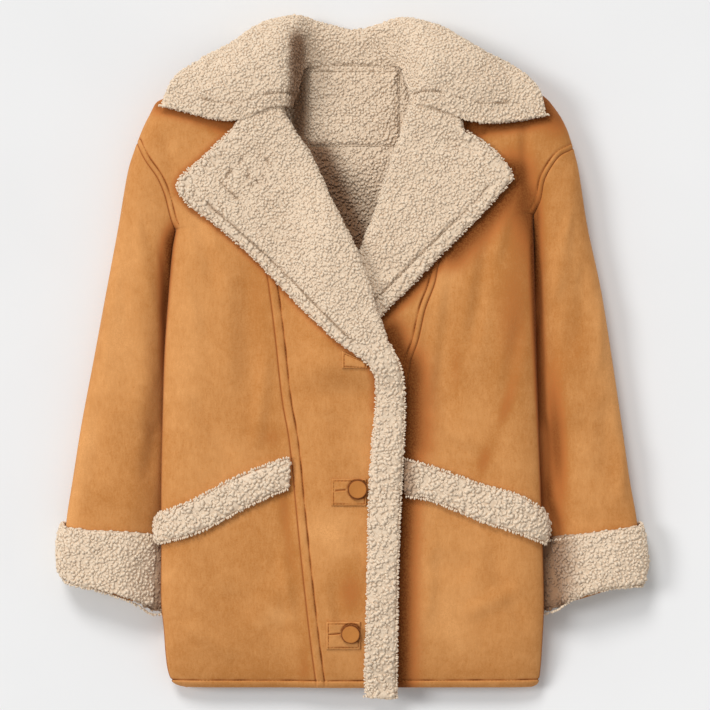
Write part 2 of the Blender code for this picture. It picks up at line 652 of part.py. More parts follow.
def make_button(name, x, y):
    """Covered button: a turned disc with a soft rim, seated on its patch."""
    bm = bmesh.new()
    verts = [bm.verts.new((out * BUTTON_RADIUS * MM, 0.0, up * BUTTON_THICK * MM))
             for out, up in BUTTON_PROFILE]
    for start, end in zip(verts, verts[1:]):
        bm.edges.new((start, end))
    mesh = bpy.data.meshes.new(name)
    bm.to_mesh(mesh)
    bm.free()
    piece = finished(name, mesh, BUTTON)
    turn = piece.modifiers.new("turn", "SCREW")
    turn.steps = BUTTON_STEPS
    turn.render_steps = BUTTON_STEPS
    turn.use_merge_vertices = True
    turn.merge_threshold = BUTTON_MERGE
    reach = BUTTON_RADIUS * BUTTON_PROFILE[-2][0]
    slope_x = front_height("right", x + reach, y) - front_height("right", x - reach, y)
    slope_y = front_height("right", x, y + reach) - front_height("right", x, y - reach)
    normal = Vector((-slope_x, -slope_y, 2 * reach)).normalized()
    seat = Vector((x, y, front_height("right", x, y))) + normal * (PATCH_SEAT + PATCH_WALL + 2 * SEAM_GAP)
    piece.location = seat * MM
    piece.rotation_euler = normal.to_track_quat("Z", "Y").to_euler()


def back_inside(x, y):
    return neck_lift(x, y) + BODY_WALL


def right_front(x, y):
    return front_height("right", x, y) + SEAM_GAP / 2


def main():
    for old in list(bpy.data.objects):
        bpy.data.objects.remove(old)
    coat = bpy.data.collections.new("shearling_coat")
    bpy.context.scene.collection.children.link(coat)
    make_body()
    for side in ("right", "left"):
        make_sleeve(side)
        make_cuff(side)
        make_welt(side)
    wall_piece("collar", COLLAR_COLUMNS, spaced(COLLAR_ROWS), collar_point, PILE)
    make_facing("lapel_band_right", "right")
    make_facing("lapel_left", "left")
    for place, corners in PATCHES.items():
        flat_patch("buttonhole_patch_" + place, corners, right_front, PATCH_WALL, SUEDE)
    for place, (x, y) in BUTTONS.items():
        make_button("button_" + place, x, y)
    flat_patch("neck_patch", NECK_PATCH, back_inside, NECK_PATCH_WALL, LINING)


main()
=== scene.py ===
"""Shearling coat laid on its back: suede shells with seams and stitches, sherpa pile, buttons and studio.

Tables are in millimetres where they don't say otherwise: +X is the wearer's left, +Y runs from the hem to
the collar and +Z is up. The operators make the pieces in metres, one after another, and then the stage.
"""
import json
from functools import partial
from math import pi

import bmesh
import bpy
import numpy as np
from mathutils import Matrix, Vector

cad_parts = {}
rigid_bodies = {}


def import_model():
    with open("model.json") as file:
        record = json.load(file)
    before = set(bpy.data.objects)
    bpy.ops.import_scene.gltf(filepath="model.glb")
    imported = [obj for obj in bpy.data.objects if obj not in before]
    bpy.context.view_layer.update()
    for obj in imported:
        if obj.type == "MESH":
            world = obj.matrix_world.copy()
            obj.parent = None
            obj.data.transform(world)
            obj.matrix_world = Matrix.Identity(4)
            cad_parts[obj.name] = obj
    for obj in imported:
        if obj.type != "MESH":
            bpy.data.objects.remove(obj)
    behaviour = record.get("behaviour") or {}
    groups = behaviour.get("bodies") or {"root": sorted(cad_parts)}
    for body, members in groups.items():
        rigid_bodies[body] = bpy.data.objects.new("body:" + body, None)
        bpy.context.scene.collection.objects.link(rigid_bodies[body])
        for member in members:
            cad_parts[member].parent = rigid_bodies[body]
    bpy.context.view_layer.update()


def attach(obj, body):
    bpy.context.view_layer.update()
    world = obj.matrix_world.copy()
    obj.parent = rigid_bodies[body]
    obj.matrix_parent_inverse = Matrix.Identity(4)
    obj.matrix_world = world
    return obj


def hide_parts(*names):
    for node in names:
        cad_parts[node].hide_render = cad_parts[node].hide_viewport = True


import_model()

bl_info = {
    "name": "Shearling Coat",
    "version": (1, 0, 0),
    "blender": (4, 5, 0),
    "location": "View3D > Sidebar > Coat",
    "description": "Builds a shearling coat laid flat, piece by piece",
    "category": "Object",
}

MM = 0.001
MERGE = 0.000002
BODY = "root"
SIDES = ("right", "left")

# Cloth and seams.
BODY_WALL = 6.5
PILE_WALL = 9.0
SEAM_GAP = 0.3
SHOULDER_GAP = 0.9

# Levels along the coat, and how the body's wall rounds over at its sides and shoulders.
HEM_Y = -382.0
PIT_SHARE = 0.72
SHOULDER_LINE_FROM = 0.45
ARMHOLE_BLEND = 0.1
SIDE_ROUND_TOP = 46.0
SIDE_ROUND_BOTTOM = 44.0
SHOULDER_ROUND_TOP = 32.0
SHOULDER_ROUND_BOTTOM = 26.0
SIDE_POWER = 1.3

# Side seam of the body, hem to underarm: y, x, z.
SIDE = {
    "right": ((-382, -193, 14), (-380, -201, 14.5), (-374.5, -208.5, 16), (-363, -213, 19.5),
              (-345, -215.5, 24), (-315, -217.5, 29), (-281, -220.5, 33), (-212, -220, 38),
              (-143, -220, 40), (-51, -218, 40), (7, -216, 40), (64, -212, 40), (122, -207, 39),
              (145, -203, 38)),
    "left": ((-382, 208, 14), (-379, 212.5, 14.5), (-370, 216, 17), (-338, 218.5, 25), (-281, 220.5, 33),
             (-166, 217, 39), (-51, 213, 40), (64, 210, 40), (130, 208.5, 39), (162, 207.5, 38)),
}

# Shoulder seams and back neck, from the right shoulder tip to the left one: x, y, z.
TOP_LINE = ((-248, 245, 24), (-241, 263, 24), (-233, 279, 24), (-225, 293, 25), (-190, 304, 25),
            (-147, 315, 26), (-100, 329, 27), (-78, 338, 26), (-62, 342, 15), (-48, 343, 11),
            (0, 344, 11), (48, 343, 11), (62, 342, 15), (78, 338, 26), (100, 329, 27),
            (147, 315, 26), (190, 305, 25), (219, 300, 25), (236, 281, 24), (247, 261, 24),
            (254, 239, 24))

# Princess seams, hem to shoulder: y, x.
PRINCESS = {
    "right": ((-382, -41), (-327, -48), (-246, -57), (-177, -64), (-97, -72), (-51, -80), (30, -89),
              (90, -97), (179, -112), (260, -129), (315, -147)),
    "left": ((-382, 45), (-281, 50), (-189, 55), (-97, 57), (-10, 66), (18, 75), (53, 83), (87, 95),
             (179, 110), (260, 129), (315, 147)),
}

# Front edges of the two fronts, hem to neck: y, x. The right one laps over the left one.
FRONT_EDGE = {
    "right": ((-382, 44), (-281, 46), (-189, 47), (-97, 50), (-51, 51), (-18, 50), (13, 40), (64, 19.5),
              (113, 0), (151, -20), (185, -39), (231, -60), (281, -87), (300, -82), (338, -78)),
    "left": ((-382, -20), (-100, -20), (-30, -19), (3, -13), (14, -6), (28, -3), (64, 2.5),
             (108, 13.5), (147, 29), (185, 40.5), (220, 53), (248, 65), (281, 78), (300, 80),
             (338, 78)),
}

# Height of the fronts' outer side along the coat, away from its sides: y, z.
CROWN = ((-382, 25), (-360, 34), (-320, 45), (-250, 54), (-150, 58), (0, 60), (100, 59), (200, 54),
         (260, 50), (315, 46), (345, 44))

# The right front rises over the left one, and higher where it crosses the left lapel.
LAP_START_X = -84.0
LAP_FULL_X = -22.0
LAP_RISE = 7.2
CROSSING_RISE = 10.8
CROSSING_LOW = (-48.0, -6.0)
CROSSING_HIGH = (140.0, 232.0)

# The back is lifted at the neck by the fall of the collar beneath it, and its wall stays level there.
NECK_LIFT = 11.0
NECK_LIFT_Y = (168.0, 228.0)
NECK_LIFT_X = (140.0, 100.0)
NECK_HALF = 74.0
NECK_FADE = 20.0

# Folds and creases of the fronts, from one end to the other: x, y, x, y, half width, height. Each one
# fades at its ends over a share of its length, and spreads to a number of half widths. Creases are only
# in the cloth, and their heights are taken times their strength.
FOLD_END = 0.3
FOLD_SPREAD = 1.6
FRONT_FOLDS = ((-120, 125, -118, -74, 15, -3.0), (-148, 130, -140, -60, 17, 2.5),
               (89, 64, 112, -97, 15, -3.0), (130, 120, 140, -40, 18, 2.2),
               (-118, -327, -60, -235, 18, 2.5), (78, -232, 140, -250, 15, -2.4))
FRONT_CREASES = ((-188, 190, -150, 60, 9, -1.5), (-176, 214, -120, 150, 8, 1.2),
                 (-205, 120, -172, 20, 8, 1.3), (-96, 20, -112, -120, 8, 1.2),
                 (-190, -40, -128, -128, 9, -1.3), (-66, -96, -76, -210, 7, -1.0),
                 (-152, -258, -78, -330, 9, -1.2), (-196, -300, -130, -352, 9, 1.0),
                 (-84, -205, -64, -330, 6, 1.0), (-30, -190, 22, -262, 7, 1.2),
                 (-36, -60, 24, -118, 7, -0.9), (-24, -250, -8, -330, 7, -1.0),
                 (104, 110, 86, -60, 8, 1.4), (158, 150, 132, -10, 9, -1.5),
                 (186, 196, 158, 96, 8, 1.2), (196, 60, 170, -70, 9, -1.2),
                 (74, -60, 150, -112, 8, 1.2), (92, -200, 84, -318, 8, 1.1),
                 (120, -300, 200, -262, 10, 1.2), (150, -212, 206, -330, 9, -1.0),
                 (196, 276, 207, 140, 7, -2.6), (-216, 262, -204, 196, 7, -1.0), (96, 246, 150, 236, 8, -1.2))
CREASE_STRENGTH = 2.0

# Patches of painted light, with an amount above 0, and of painted shade, below 0, over the nap's own tone: x,
# y, half width, half length, lean to the right, amount.
PAINTED_NAP_LIGHT_AND_SHADE = ((-270, 46, 16, 60, 0.15, 0.5), (-312, -131, 10, 70, 0.2, 0.6), (-175, 145, 25, 30, 0.0, 0.45),
             (-187, 20, 18, 90, 0.0, 0.3), (-32, -200, 28, 26, 0.0, 0.75), (-89, -298, 22, 10, 0.0, 0.6),
             (110, 80, 18, 32, 0.3, 0.45), (118, -290, 26, 50, 0.0, 0.35), (300, -10, 9, 120, -0.15, 0.6),
             (254, 122, 14, 42, -0.1, 0.35), (175, -105, 10, 22, 0.0, 0.25), (-140, 257, 15, 10, 0.0, -0.8),
             (-225, 255, 10, 16, 0.0, -0.3), (-110, 75, 15, 52, -0.1, -0.4), (-95, -92, 24, 14, 0.0, -0.45),
             (-75, -190, 9, 62, -0.15, -0.6), (-2, -270, 17, 28, 0.0, -0.7), (-55, -345, 7, 32, 0.0, -0.45),
             (193, 188, 14, 52, 0.0, -1.2), (187, 40, 22, 72, 0.0, -0.5), (118, -15, 9, 42, 0.0, -0.35),
             (175, -60, 8, 30, 0.3, -0.55), (150, -120, 9, 20, 0.2, -0.65), (210, 148, 9, 44, 0.0, -1.1),
             (234, -100, 12, 84, -0.05, -1.2), (256, 10, 17, 62, -0.1, -0.4), (302, -120, 9, 22, 0.0, -0.3),
             (-26, 18, 22, 11, 0.0, -0.35), (233, 277, 22, 26, 0.0, -1.1), (139, 261, 15, 9, 0.0, -3.2),
             (150, 60, 55, 130, 0.0, -0.22), (-110, -366, 110, 14, 0.0, -0.3), (130, -366, 80, 12, 0.0, -0.2),
             (-158, 264, 16, 8, 0.0, -0.7), (-90, -240, 50, 60, 0.0, -0.15))

# Creases of the back's underside and of its inside, in the same columns.
BACK_CREASES = ((-150, 210, -96, 70, 14, 1.6), (146, 216, 100, 60, 14, 1.6), (-60, -20, -80, -230, 16, 1.4),
                (70, 10, 84, -240, 16, 1.4), (-170, -120, -110, -290, 12, 1.2),
                (172, -110, 120, -300, 12, 1.2), (-40, 150, 36, 128, 10, 1.0))

# Sleeves as flattened rings, armhole to cuff end: station, outer x y, inner x y, outer z, inner z,
# top, bottom, shift of the front half and of the back half along the sleeve, dip at the body's side.
SLEEVE = {
    "right": ((0.00, -248, 245, -203, 145, 24, 38, 48, 0.3, 0, -8, 0),
              (0.08, -258, 214, -206.5, 104, 23, 26, 49, 0.3, 0, -4, 2),
              (0.20, -269, 151, -207.5, 62, 22, 16, 48, 0.3, 0, 0, 5),
              (0.35, -283, 76, -212, 7, 22, 12, 47, 0.3, 0, 0, 6),
              (0.50, -298, -5, -214, -62, 22, 12, 46, 0.3, 0, 0, 6),
              (0.65, -312, -79, -215, -125, 22, 12, 45, 0.3, 0, 0, 6),
              (0.76, -322, -142, -216, -174, 22, 13, 44, 1, 0, 0, 6),
              (0.84, -329, -188, -221, -212, 24, 15, 42, 9.8, 0, 0, 10),
              (0.94, -332, -235, -223, -263, 25, 15, 41, 9.8, 4, -4, 17),
              (1.00, -330, -249, -224, -284, 25, 15, 41, 9.8, 7, -4, 17),
              (1.06, -328, -257, -224, -296, 25, 15, 41, 9.8, 9, -4, 17)),
    "left": ((0.00, 254, 239, 207.5, 162, 24, 38, 48, 0.3, 0, -8, 0),
             (0.08, 260, 214, 207.5, 114, 23, 26, 49, 0.3, 1, -4, 4),
             (0.20, 270, 151, 206, 66, 22, 16, 48, 0.3, 0, 0, 10),
             (0.35, 286, 76, 207, 7, 22, 12, 47, 0.3, 0, 0, 12),
             (0.50, 299, -5, 208, -62, 22, 12, 46, 0.3, 0, 0, 12),
             (0.65, 310, -79, 210, -125, 22, 12, 45, 0.3, 0, 0, 12),
             (0.76, 319, -142, 212, -174, 22, 13, 44, 1, 0, 0, 12),
             (0.84, 327, -188, 219, -212, 24, 15, 42, 9.8, 0, 0, 15),
             (0.94, 331, -235, 222, -263, 25, 15, 41, 9.8, 4, -4, 17),
             (1.00, 330, -249, 223, -284, 25, 15, 41, 9.8, 7, -4, 17),
             (1.06, 329, -257, 223, -296, 25, 15, 41, 9.8, 9, -4, 17)),
}
SLEEVE_CLEARANCE = 0.2
RING_POWER = 0.8
DIP_FROM = 0.2
DIP_OVER = 0.7

# Creases of the sleeves: station, turn in shares of a half turn, station, turn, half width in mm,
# height. A turn of 0 is at the body, 0.5 on top, 1 at the outer fold and 1.5 beneath.
SLEEVE_CREASES = ((0.06, 0.30, 0.34, 0.16, 10, -1.8), (0.10, 0.62, 0.30, 0.40, 9, 1.4),
                  (0.24, 0.70, 0.46, 0.52, 10, -1.3), (0.34, 0.86, 0.52, 0.66, 8, 1.2),
                  (0.40, 0.34, 0.62, 0.48, 10, 1.4), (0.52, 0.22, 0.74, 0.34, 9, -1.5),
                  (0.55, 0.74, 0.78, 0.62, 10, -1.2), (0.66, 0.90, 0.82, 0.70, 8, 1.2),
                  (0.12, 1.40, 0.36, 1.60, 10, 1.2), (0.44, 1.30, 0.66, 1.50, 10, 1.2))

# The turned-up cuff around the sleeve's end, as a closed outline: station, distance from the sleeve.
CUFF_OUTLINE = ((0.850, 1.2), (0.844, 4.0), (0.855, 8.0), (0.885, 9.8), (0.970, 9.8), (1.030, 9.6),
                (1.056, 6.0), (1.058, 0.0), (1.045, -5.0), (1.020, -6.8), (1.006, -4.0),
                (1.006, 1.0), (0.955, 1.2), (0.900, 1.2))

# How far the armhole bows toward the neck on the front: share of its width from the underarm out, bow.
ARMHOLE_BOW = {
    "right": ((0.0, 0), (0.1, 0.3), (0.22, 2.6), (0.37, 5.3), (0.57, 5.6), (0.78, 1.3), (0.9, 0.2), (1.0, 0)),
    "left": ((0.0, 0), (0.12, 0.8), (0.21, 2.2), (0.45, 9.8), (0.64, 11), (0.84, 10), (0.95, 4), (1.0, 0)),
}

# How far the front half of each cuff is pulled up: place across, from -1 at its outer fold to 1 at the
# body, then the rise of its upper and of its lower edge.
CUFF_SET = {
    "right": ((-1.0, -5, 0), (-0.7, -4, 4), (-0.3, 0, 9), (0.2, 5, 10), (0.5, 7, 8), (0.8, 9, 1),
              (1.0, 9, 0)),
    "left": ((-1.0, -3.5, -6), (-0.8, -3, 0), (-0.4, -1, 9), (0.0, 1.5, 13), (0.4, 3.5, 12), (0.7, 5, 5),
             (1.0, 5, 1)),
}

# Shade between the body and the sleeves: y, its strength and reach on the body, then on the sleeve.
VALLEY = {
    "right": ((-200, 0.1, 3, 0.2, 5), (-40, 0.15, 3, 0.25, 5), (0, 0.3, 3, 0.6, 6), (40, 0.4, 3, 0.8, 8),
              (100, 0.5, 4, 0.95, 12), (138, 0.5, 4, 0.95, 13), (165, 0, 4, 0, 8)),
    "left": ((-260, 0.2, 3, 0.9, 19), (-200, 0.3, 3, 1.0, 22), (-150, 0.3, 3, 1.0, 20),
             (-100, 0.4, 3, 1.0, 15), (-50, 0.7, 4, 1.0, 11), (0, 0.9, 5, 1.0, 10), (60, 1.0, 7, 1.0, 9),
             (150, 1.0, 8, 1.0, 9), (180, 0, 6, 0, 8)),
}

# Turned-out facings, from their foot to the gorge: share, roll x y, outer edge x y.
FACING = {
    "right": ((0.00, 51, -392, 15, -390), (0.04, 51, -370, 13.5, -370), (0.12, 51.5, -320, 15, -320),
              (0.24, 52.5, -240, 17, -240), (0.35, 55.5, -165, 18, -165), (0.44, 59, -97, 21.5, -103),
              (0.51, 60, -51, 26, -52), (0.56, 57, -18, 21, -14), (0.61, 46, 8, -20, 19),
              (0.68, 32, 44, -63.5, 60), (0.76, 19.5, 88, -114.5, 113), (0.83, 3, 128, -161, 153),
              (0.88, -16, 166, -189.5, 175), (0.92, -30, 195, -201, 198.5), (0.96, -48, 234, -170.5, 228.5),
              (1.00, -76, 279, -136, 262), (1.05, -72, 290, -131, 274)),
    "left": ((0.00, -18, 18, 9, 2), (0.16, -12, 52, 33.5, 45), (0.32, -3, 88, 67, 79.5),
             (0.46, 8, 122, 101, 115), (0.60, 20, 154, 139, 153), (0.72, 27.5, 177, 167, 183),
             (0.79, 31, 191, 179.5, 197.5), (0.82, 33, 198, 184, 203), (0.85, 37, 208, 182, 211.5),
             (0.89, 43, 225, 172.5, 224.5), (0.95, 53, 252, 152.5, 244.5), (1.00, 62, 281, 130.5, 257.5),
             (1.05, 68, 292, 126, 271)),
}
# Its outline across: distance from the roll, then the height over the front's outer side.
LIP_OUTLINE = ((8.3, -6.3), (4.0, -6.3), (1.2, -3.2), (0.0, 1.6), (1.2, 6.2), (4.2, 9.0), (9.5, 9.7))
LEAF_UNDER = {"right": 1.3, "left": 0.6}
LEAF_EDGE = ((3.5, 9.2), (0.4, 6.6), (0.0, 3.2))
LEAF_EDGE_UNDER = 1.6
LEAF_TOP = 10.2
# The facings rise to the collar's upper side where they are sewn to it.
GORGE_RISE = {"right": 5.5, "left": 4.5}
GORGE_FROM = 0.94

# Collar as a centre line across it at each station from the right front to the centre back: share,
# then x, y, z of the neck seam, stand top, turn, middle of the fall and outer edge.
COLLAR = ((0.000, -71, 286, 46, -79, 288, 61, -93, 285, 63, -139, 269.5, 59, -221, 287, 52),
          (0.090, -66, 306, 44, -80, 311, 66, -95, 312, 68, -142, 307, 62, -207, 317, 47),
          (0.180, -62, 325, 38, -79, 335, 64, -95, 340, 66, -139, 340, 56, -176, 339, 32),
          (0.260, -57, 338, 28, -74, 360, 54, -90, 366, 55, -120, 368, 42, -139, 354, 18),
          (0.325, -49, 344, 22, -62, 379, 38, -77, 386, 37, -97, 381, 24, -107, 352, 8),
          (0.380, -39, 345, 18, -51, 380, 28, -60, 388, 19, -72, 366, 7.2, -83, 330, 5.4),
          (0.440, -20, 345.5, 17, -27, 373, 20, -30, 379, 11.2, -35, 348, 5.4, -42, 300, 5.4),
          (0.500, 0, 346, 17, 0, 368, 18.5, 0, 373, 10, 0, 343, 5.4, 0, 292, 5.4))
COLLAR_ACROSS = (0.0, 0.28, 0.42, 0.66, 1.0)
COLLAR_STEP = 0.002
# How the left half's outer part lies away from the mirrored right one: share, x, y.
LEFT_COLLAR = ((0.0, 2.0, 0.0), (0.05, 4.0, 2.5), (0.12, 5.0, 4.5), (0.19, 3.5, 3.0), (0.26, 0.0, -3.5),
               (0.33, -1.5, -4.5), (0.40, 0.0, -1.0), (0.5, 0.0, 0.0))
LEFT_TIP_DROP = 11.0
TIP_DROP_FROM = 110.0
TIP_DROP_OVER = 90.0

# Pocket welts: distance in from the side seam, then y of the upper and of the lower edge.
WELT = {
    "right": ((0, -181, -216), (45, -160, -202), (80, -141, -183.5), (115, -126, -165.5),
              (147, -115, -152)),
    "left": ((0, -178, -217), (23, -160, -206), (69, -146, -190), (127, -125, -166), (156, -117, -161)),
}
WELT_OUTLINE = ((0.03, 0.3), (0.0, 3.0), (0.05, 6.8), (0.18, 9.0), (0.5, 9.4), (0.82, 9.0), (0.95, 6.8),
                (1.0, 3.0), (0.97, 0.3), (0.65, 0.3), (0.35, 0.3))

# Buttonhole patches on the right front, corner by corner: x, y.
PATCHES = {
    "top": ((-12, -14), (17, -14), (17, -8), (-12, 6)),
    "middle": ((-24, -171), (16, -171), (16, -140), (-24, -140)),
    "lower": ((-30, -336), (9, -336), (9, -304), (-30, -304)),
}
PATCH_WALL = 1.2
PATCH_SEAT = 0.8
BUTTONS = {"middle": (6.0, -152.0), "lower": (-1.5, -317.0)}
BUTTON_RADIUS = 11.0
BUTTON_THICK = 5.2
NECK_PATCH = ((-49, 244), (52, 244), (52, 327), (-49, 327))
NECK_PATCH_WALL = 3.0

# Seams and stitches that show on the suede. A strip is the stitched allowance beside a seam: how wide it
# is, how high, and how its height starts at the seam and ends before its stitches.
ARMHOLE_STRIP = 5.6
PRINCESS_STRIP = {"right": 9.5, "left": 6.6}
GROOVE_DEPTH = 0.85
GROOVE_WIDTH = 1.1
STRIP_RISE = 0.9
STRIP_START = 1.6
STRIP_END = 1.2
STRIP_FADE = 1.8
STITCH_DENT = 1.5
STITCH_DENT_WIDTH = 1.15
STITCH_LIFT = 0.12
SEAM_OVERLAP = 0.3
FLOOR_GAP = 0.1

# Hem: its stitches over its edge and how its height starts and ends, then how a panel turns in at it, from
# its inside to its outside: way up from the hem, depth. Last come the rows above it and at the shoulder.
HEM_STITCH = 8.6
HEM_START = 3.0
HEM_END = 1.4
HEM_FADE = 2.0
HEM_DENT_WIDTH = 1.2
HEM_ROLL = ((26.0, 6.5), (14.0, 6.5), (6.0, 6.4), (2.4, 5.9), (0.8, 4.9), (0.1, 3.6), (0.3, 2.2),
            (1.3, 1.0), (3.0, 0.3))
HEM_FLAT = (4.6, 6.0, 7.0, 7.8, 8.6, 9.4, 10.2, 11.4, 13.4, 16.0)
SHOULDER_ROWS = (6.0, 3.5, 2.0, 1.0, 0.4, 0.0)

# Grids of the cloth: length of a panel, then the distance from one row to the next.
PANEL_LENGTH = 700.0
SUEDE_STEP = 3.6
BACK_STEP = 6.4
SLEEVE_STEP = 4.2
LINING_STEP = 7.0

# Sleeves: length along the stations and half of the way around, for creases given in shares, the turn of
# the seam, the first rows below the armhole, and the station by which the armhole's bow is gone.
SLEEVE_LENGTH = 500.0
SLEEVE_HALF_ROUND = 112.0
SLEEVE_SEAM_TURN = 1.86
SLEEVE_FIRST_ROWS = (0.0, 0.7, 1.4, 2.4, 3.6, 5.5, 8.0)
BOW_END = 0.1

# Lining: room under the suede, its hem, its first and last share of a panel, its columns, where the pile on
# the back starts to show through the neck, then its first and last share of a sleeve and its grid there.
LINING_ROOM = 1.6
LINING_HEM = 26.5
LINING_ENDS = (0.0015, 0.9985)
LINING_COLUMNS = {"back": 90, "front": 18}
LINING_SHOWN_Y = (70.0, 82.0)
LINING_SHOWN_X = (96.0, 88.0)
SLEEVE_LINING_ENDS = (0.002, 0.998)
SLEEVE_LINING_GRID = (60, 36)

# Pile pieces: how far they bulge at their ends, how deep and wide their stitching presses them in, then the
# rows of an end: share of its ring's size, share of its bulge.
PILE_NOSE = 1.5
PRESS = 2.4
PRESS_WIDTH = 1.7
NOSE = ((0.93, 0.45), (0.72, 0.8), (0.4, 0.97), (0.0, 1.0))
# Their grids. Facings: side, name, rows along; then the points round the pieces and the rest of the rows.
FACING_PIECES = (("right", "lapel_band_right", 150), ("left", "lapel_left", 62))
FACING_ROUND = 60
LEAF_SPAN = 16.0
CUFF_RINGS = 72
CUFF_ROUND = 52
WELT_WIDTH = 38.0
WELT_ROWS = 40
WELT_ROUND = 30
COLLAR_LENGTH = 760.0
COLLAR_ROW = 4.5
COLLAR_HALF_WALL = PILE_WALL / 2
COLLAR_TUCK = 6.0
COLLAR_SHOWN = 38
COLLAR_HIDDEN = 26

# Stitching on the collar's right half, mirrored on the left one: share across, share along.
COLLAR_STITCHING = ((0.10, 0.052), (0.40, 0.050), (0.70, 0.046), (0.80, 0.050), (0.815, 0.062),
                    (0.82, 0.10), (0.82, 0.16), (0.80, 0.24), (0.78, 0.32), (0.76, 0.42))

# Stitching on the lapels: share along, distance in from the outer edge. The buttonhole is x, y.
LAPEL_STITCHING = {
    "left": ((0.10, 23), (0.30, 23), (0.50, 23), (0.66, 23), (0.78, 24)),
    "right": ((0.615, 22), (0.68, 23), (0.74, 23), (0.81, 23), (0.885, 26)),
}
LAPEL_BUTTONHOLE = ((-91.7, 218.2), (-113.5, 238.4), (-151.0, 198.1), (-129.1, 177.9), (-91.7, 218.2))
LAPEL_SLIT = ((-125.5, 196.0), (-121.0, 204.0), (-116.0, 211.0))

# Stitching inside the back neck, along the stand: x, y. The other line runs round the patch.
NECK_STITCHING = ((-66, 339), (-20, 335), (24, 334.5), (66, 338))

# Turn around the cuff at which its front flap ends, at its upper and at its lower edge.
CUFF_FLAP = {"right": (0.225, 0.215), "left": (0.25, 0.37)}
CUFF_STATIONS = (0.852, 1.052)
CUFF_TOP = 9.8
# What lies behind the flap: how far it is set back, how fast that starts, the turn from which it does so
# again on the underside, and how dim it is.
FLAP_STEP = 5.0
FLAP_FADE = 0.03
FLAP_BACK = 1.96
CUFF_SHADE = {"right": 0.6, "left": 0.85}
# The right cuff's mouth, set back as well: its stations at the body and from a turn on, and its fade.
CUFF_MOUTH = (0.985, 1.07)
CUFF_MOUTH_TURN = 0.85
CUFF_MOUTH_FADE = 0.016
# The left cuff's dim part beside the body: how dim, where it ends along x, where it starts along z.
CUFF_DARK = 0.9
CUFF_DARK_X = (279.0, 221.0)
CUFF_DARK_Z = (12.0, 26.0)

# Shade inside the neck, along the stand: its x, its reach, then how it fades: axis, from, to.
STAND_SHADE_X = -62.0
STAND_REACH = 11.5
STAND_FADES = ((1, 232.0, 254.0), (1, 384.0, 358.0), (0, -76.0, -70.0), (2, 8.0, 14.0))
# Shade under the right front's roll over the back: the roll's x at two heights, the reach, how it fades.
NECK_ROLL = (-44.0, 8.0)
NECK_ROLL_Y = (243.0, 128.0)
ROLL_REACH = 19.0
ROLL_FADES = ((1, 252.0, 240.0), (1, 100.0, 120.0))
NECK_DARK = 0.95
# The shade between body and sleeves starts over this height on the body, and the sleeves' marks fade in.
VALLEY_FLOOR = 20.0
SLEEVE_FADE = (20.0, 32.0)

# Shade on the fronts beside the collar's outer edge, then beside its front end: strength, reach.
COLLAR_SHADE = {"right": ((0.45, 11.0), (0.7, 11.0)), "left": ((0.85, 16.0), (1.0, 13.0))}
# Shade on the fronts beside the facings: facing, its side (0 roll, 1 outer edge), from one share of its
# length to another, strength, reach.
EDGE_SHADE = {
    "right": (("right", 1, 0.5, 1.0, 0.5, 6.0),),
    "left": (("left", 1, 0.5, 0.84, 1.0, 25.0), ("left", 1, 0.02, 0.84, 1.0, 12.0),
             ("right", 0, 0.44, 0.57, 1.0, 29.0), ("right", 0, 0.0, 0.64, 1.0, 22.0)),
}

# Buttonhole patches: distance of their stitches from the edge, how far the cloth lies over its seat, how far
# its stitches sink into it, and the slits that show, end to end.
PATCH_STITCH = 2.4
PATCH_LIFT = 0.7
PATCH_STITCH_SINK = 0.3
SLITS = {"middle": ((-19.0, -153.5), (-8.0, -152.5)), "lower": ((-26.0, -318.5), (-14.5, -317.5))}

# The button's turned shape: radius and height as shares of its own, and how much painted shade its cloth gets
# there, darkest round its side; then how far it stands over its patch, the points round it and the gathers of
# its cloth.
BUTTON_PROFILE = ((0.0, 0.93, 0.0), (0.3, 0.94, 0.0), (0.6, 0.955, 0.0), (0.78, 0.98, 0.0),
                  (0.86, 0.985, 0.25), (0.92, 0.93, 0.8), (0.97, 0.8, 1.0), (1.0, 0.62, 1.0),
                  (1.0, 0.42, 1.0), (0.97, 0.25, 1.0), (0.9, 0.1, 1.0), (0.8, 0.04, 1.0), (0.0, 0.04, 1.0))
BUTTON_SEAT = 0.6
BUTTON_ROUND = 48
BUTTON_GATHERS = 24

# Curls: path in shares of half their length, then mm aside and up, and radii in shares of half their own.
CURLS = {
    "curl_bean": (((-1.0, 0.0, -0.9), (-0.66, 0.25, 0.0), (0.0, -0.2, 0.3), (0.66, 0.2, 0.0),
                   (1.0, 0.1, -0.9)), (1.0, 1.2, 0.95)),
    "curl_comma": (((-0.8, -0.7, -0.8), (-0.7, 0.1, 0.0), (-0.1, 0.75, 0.35), (0.5, 0.3, 0.2),
                    (0.65, -0.7, -0.2), (0.4, -1.2, -0.8)), (0.8, 0.95, 0.9, 0.7)),
    "curl_knot": (((-0.6, -0.2, -0.9), (-0.4, 0.0, 0.1), (0.05, 0.2, 0.6), (0.45, -0.1, 0.1),
                   (0.6, -0.3, -0.8)), (1.05, 1.25, 1.05)),
}
CURL_SIDES = 4
CURLS_PER_SPACING = 1.4
# Locks along the edges: how far each one bends aside, in mm, and their radii.
TUFTS = {"tuft_left": 0.9, "tuft_right": -0.8, "tuft_straight": 0.2}
TUFT_RADII = (1.35, 1.2, 0.75)
TUFT_PITCH = 0.0024
# How deep under the pile's top the curls' grooves and the sunk stitches lie.
GROOVE_SINK = 3.5
STITCH_SINK = 2.0

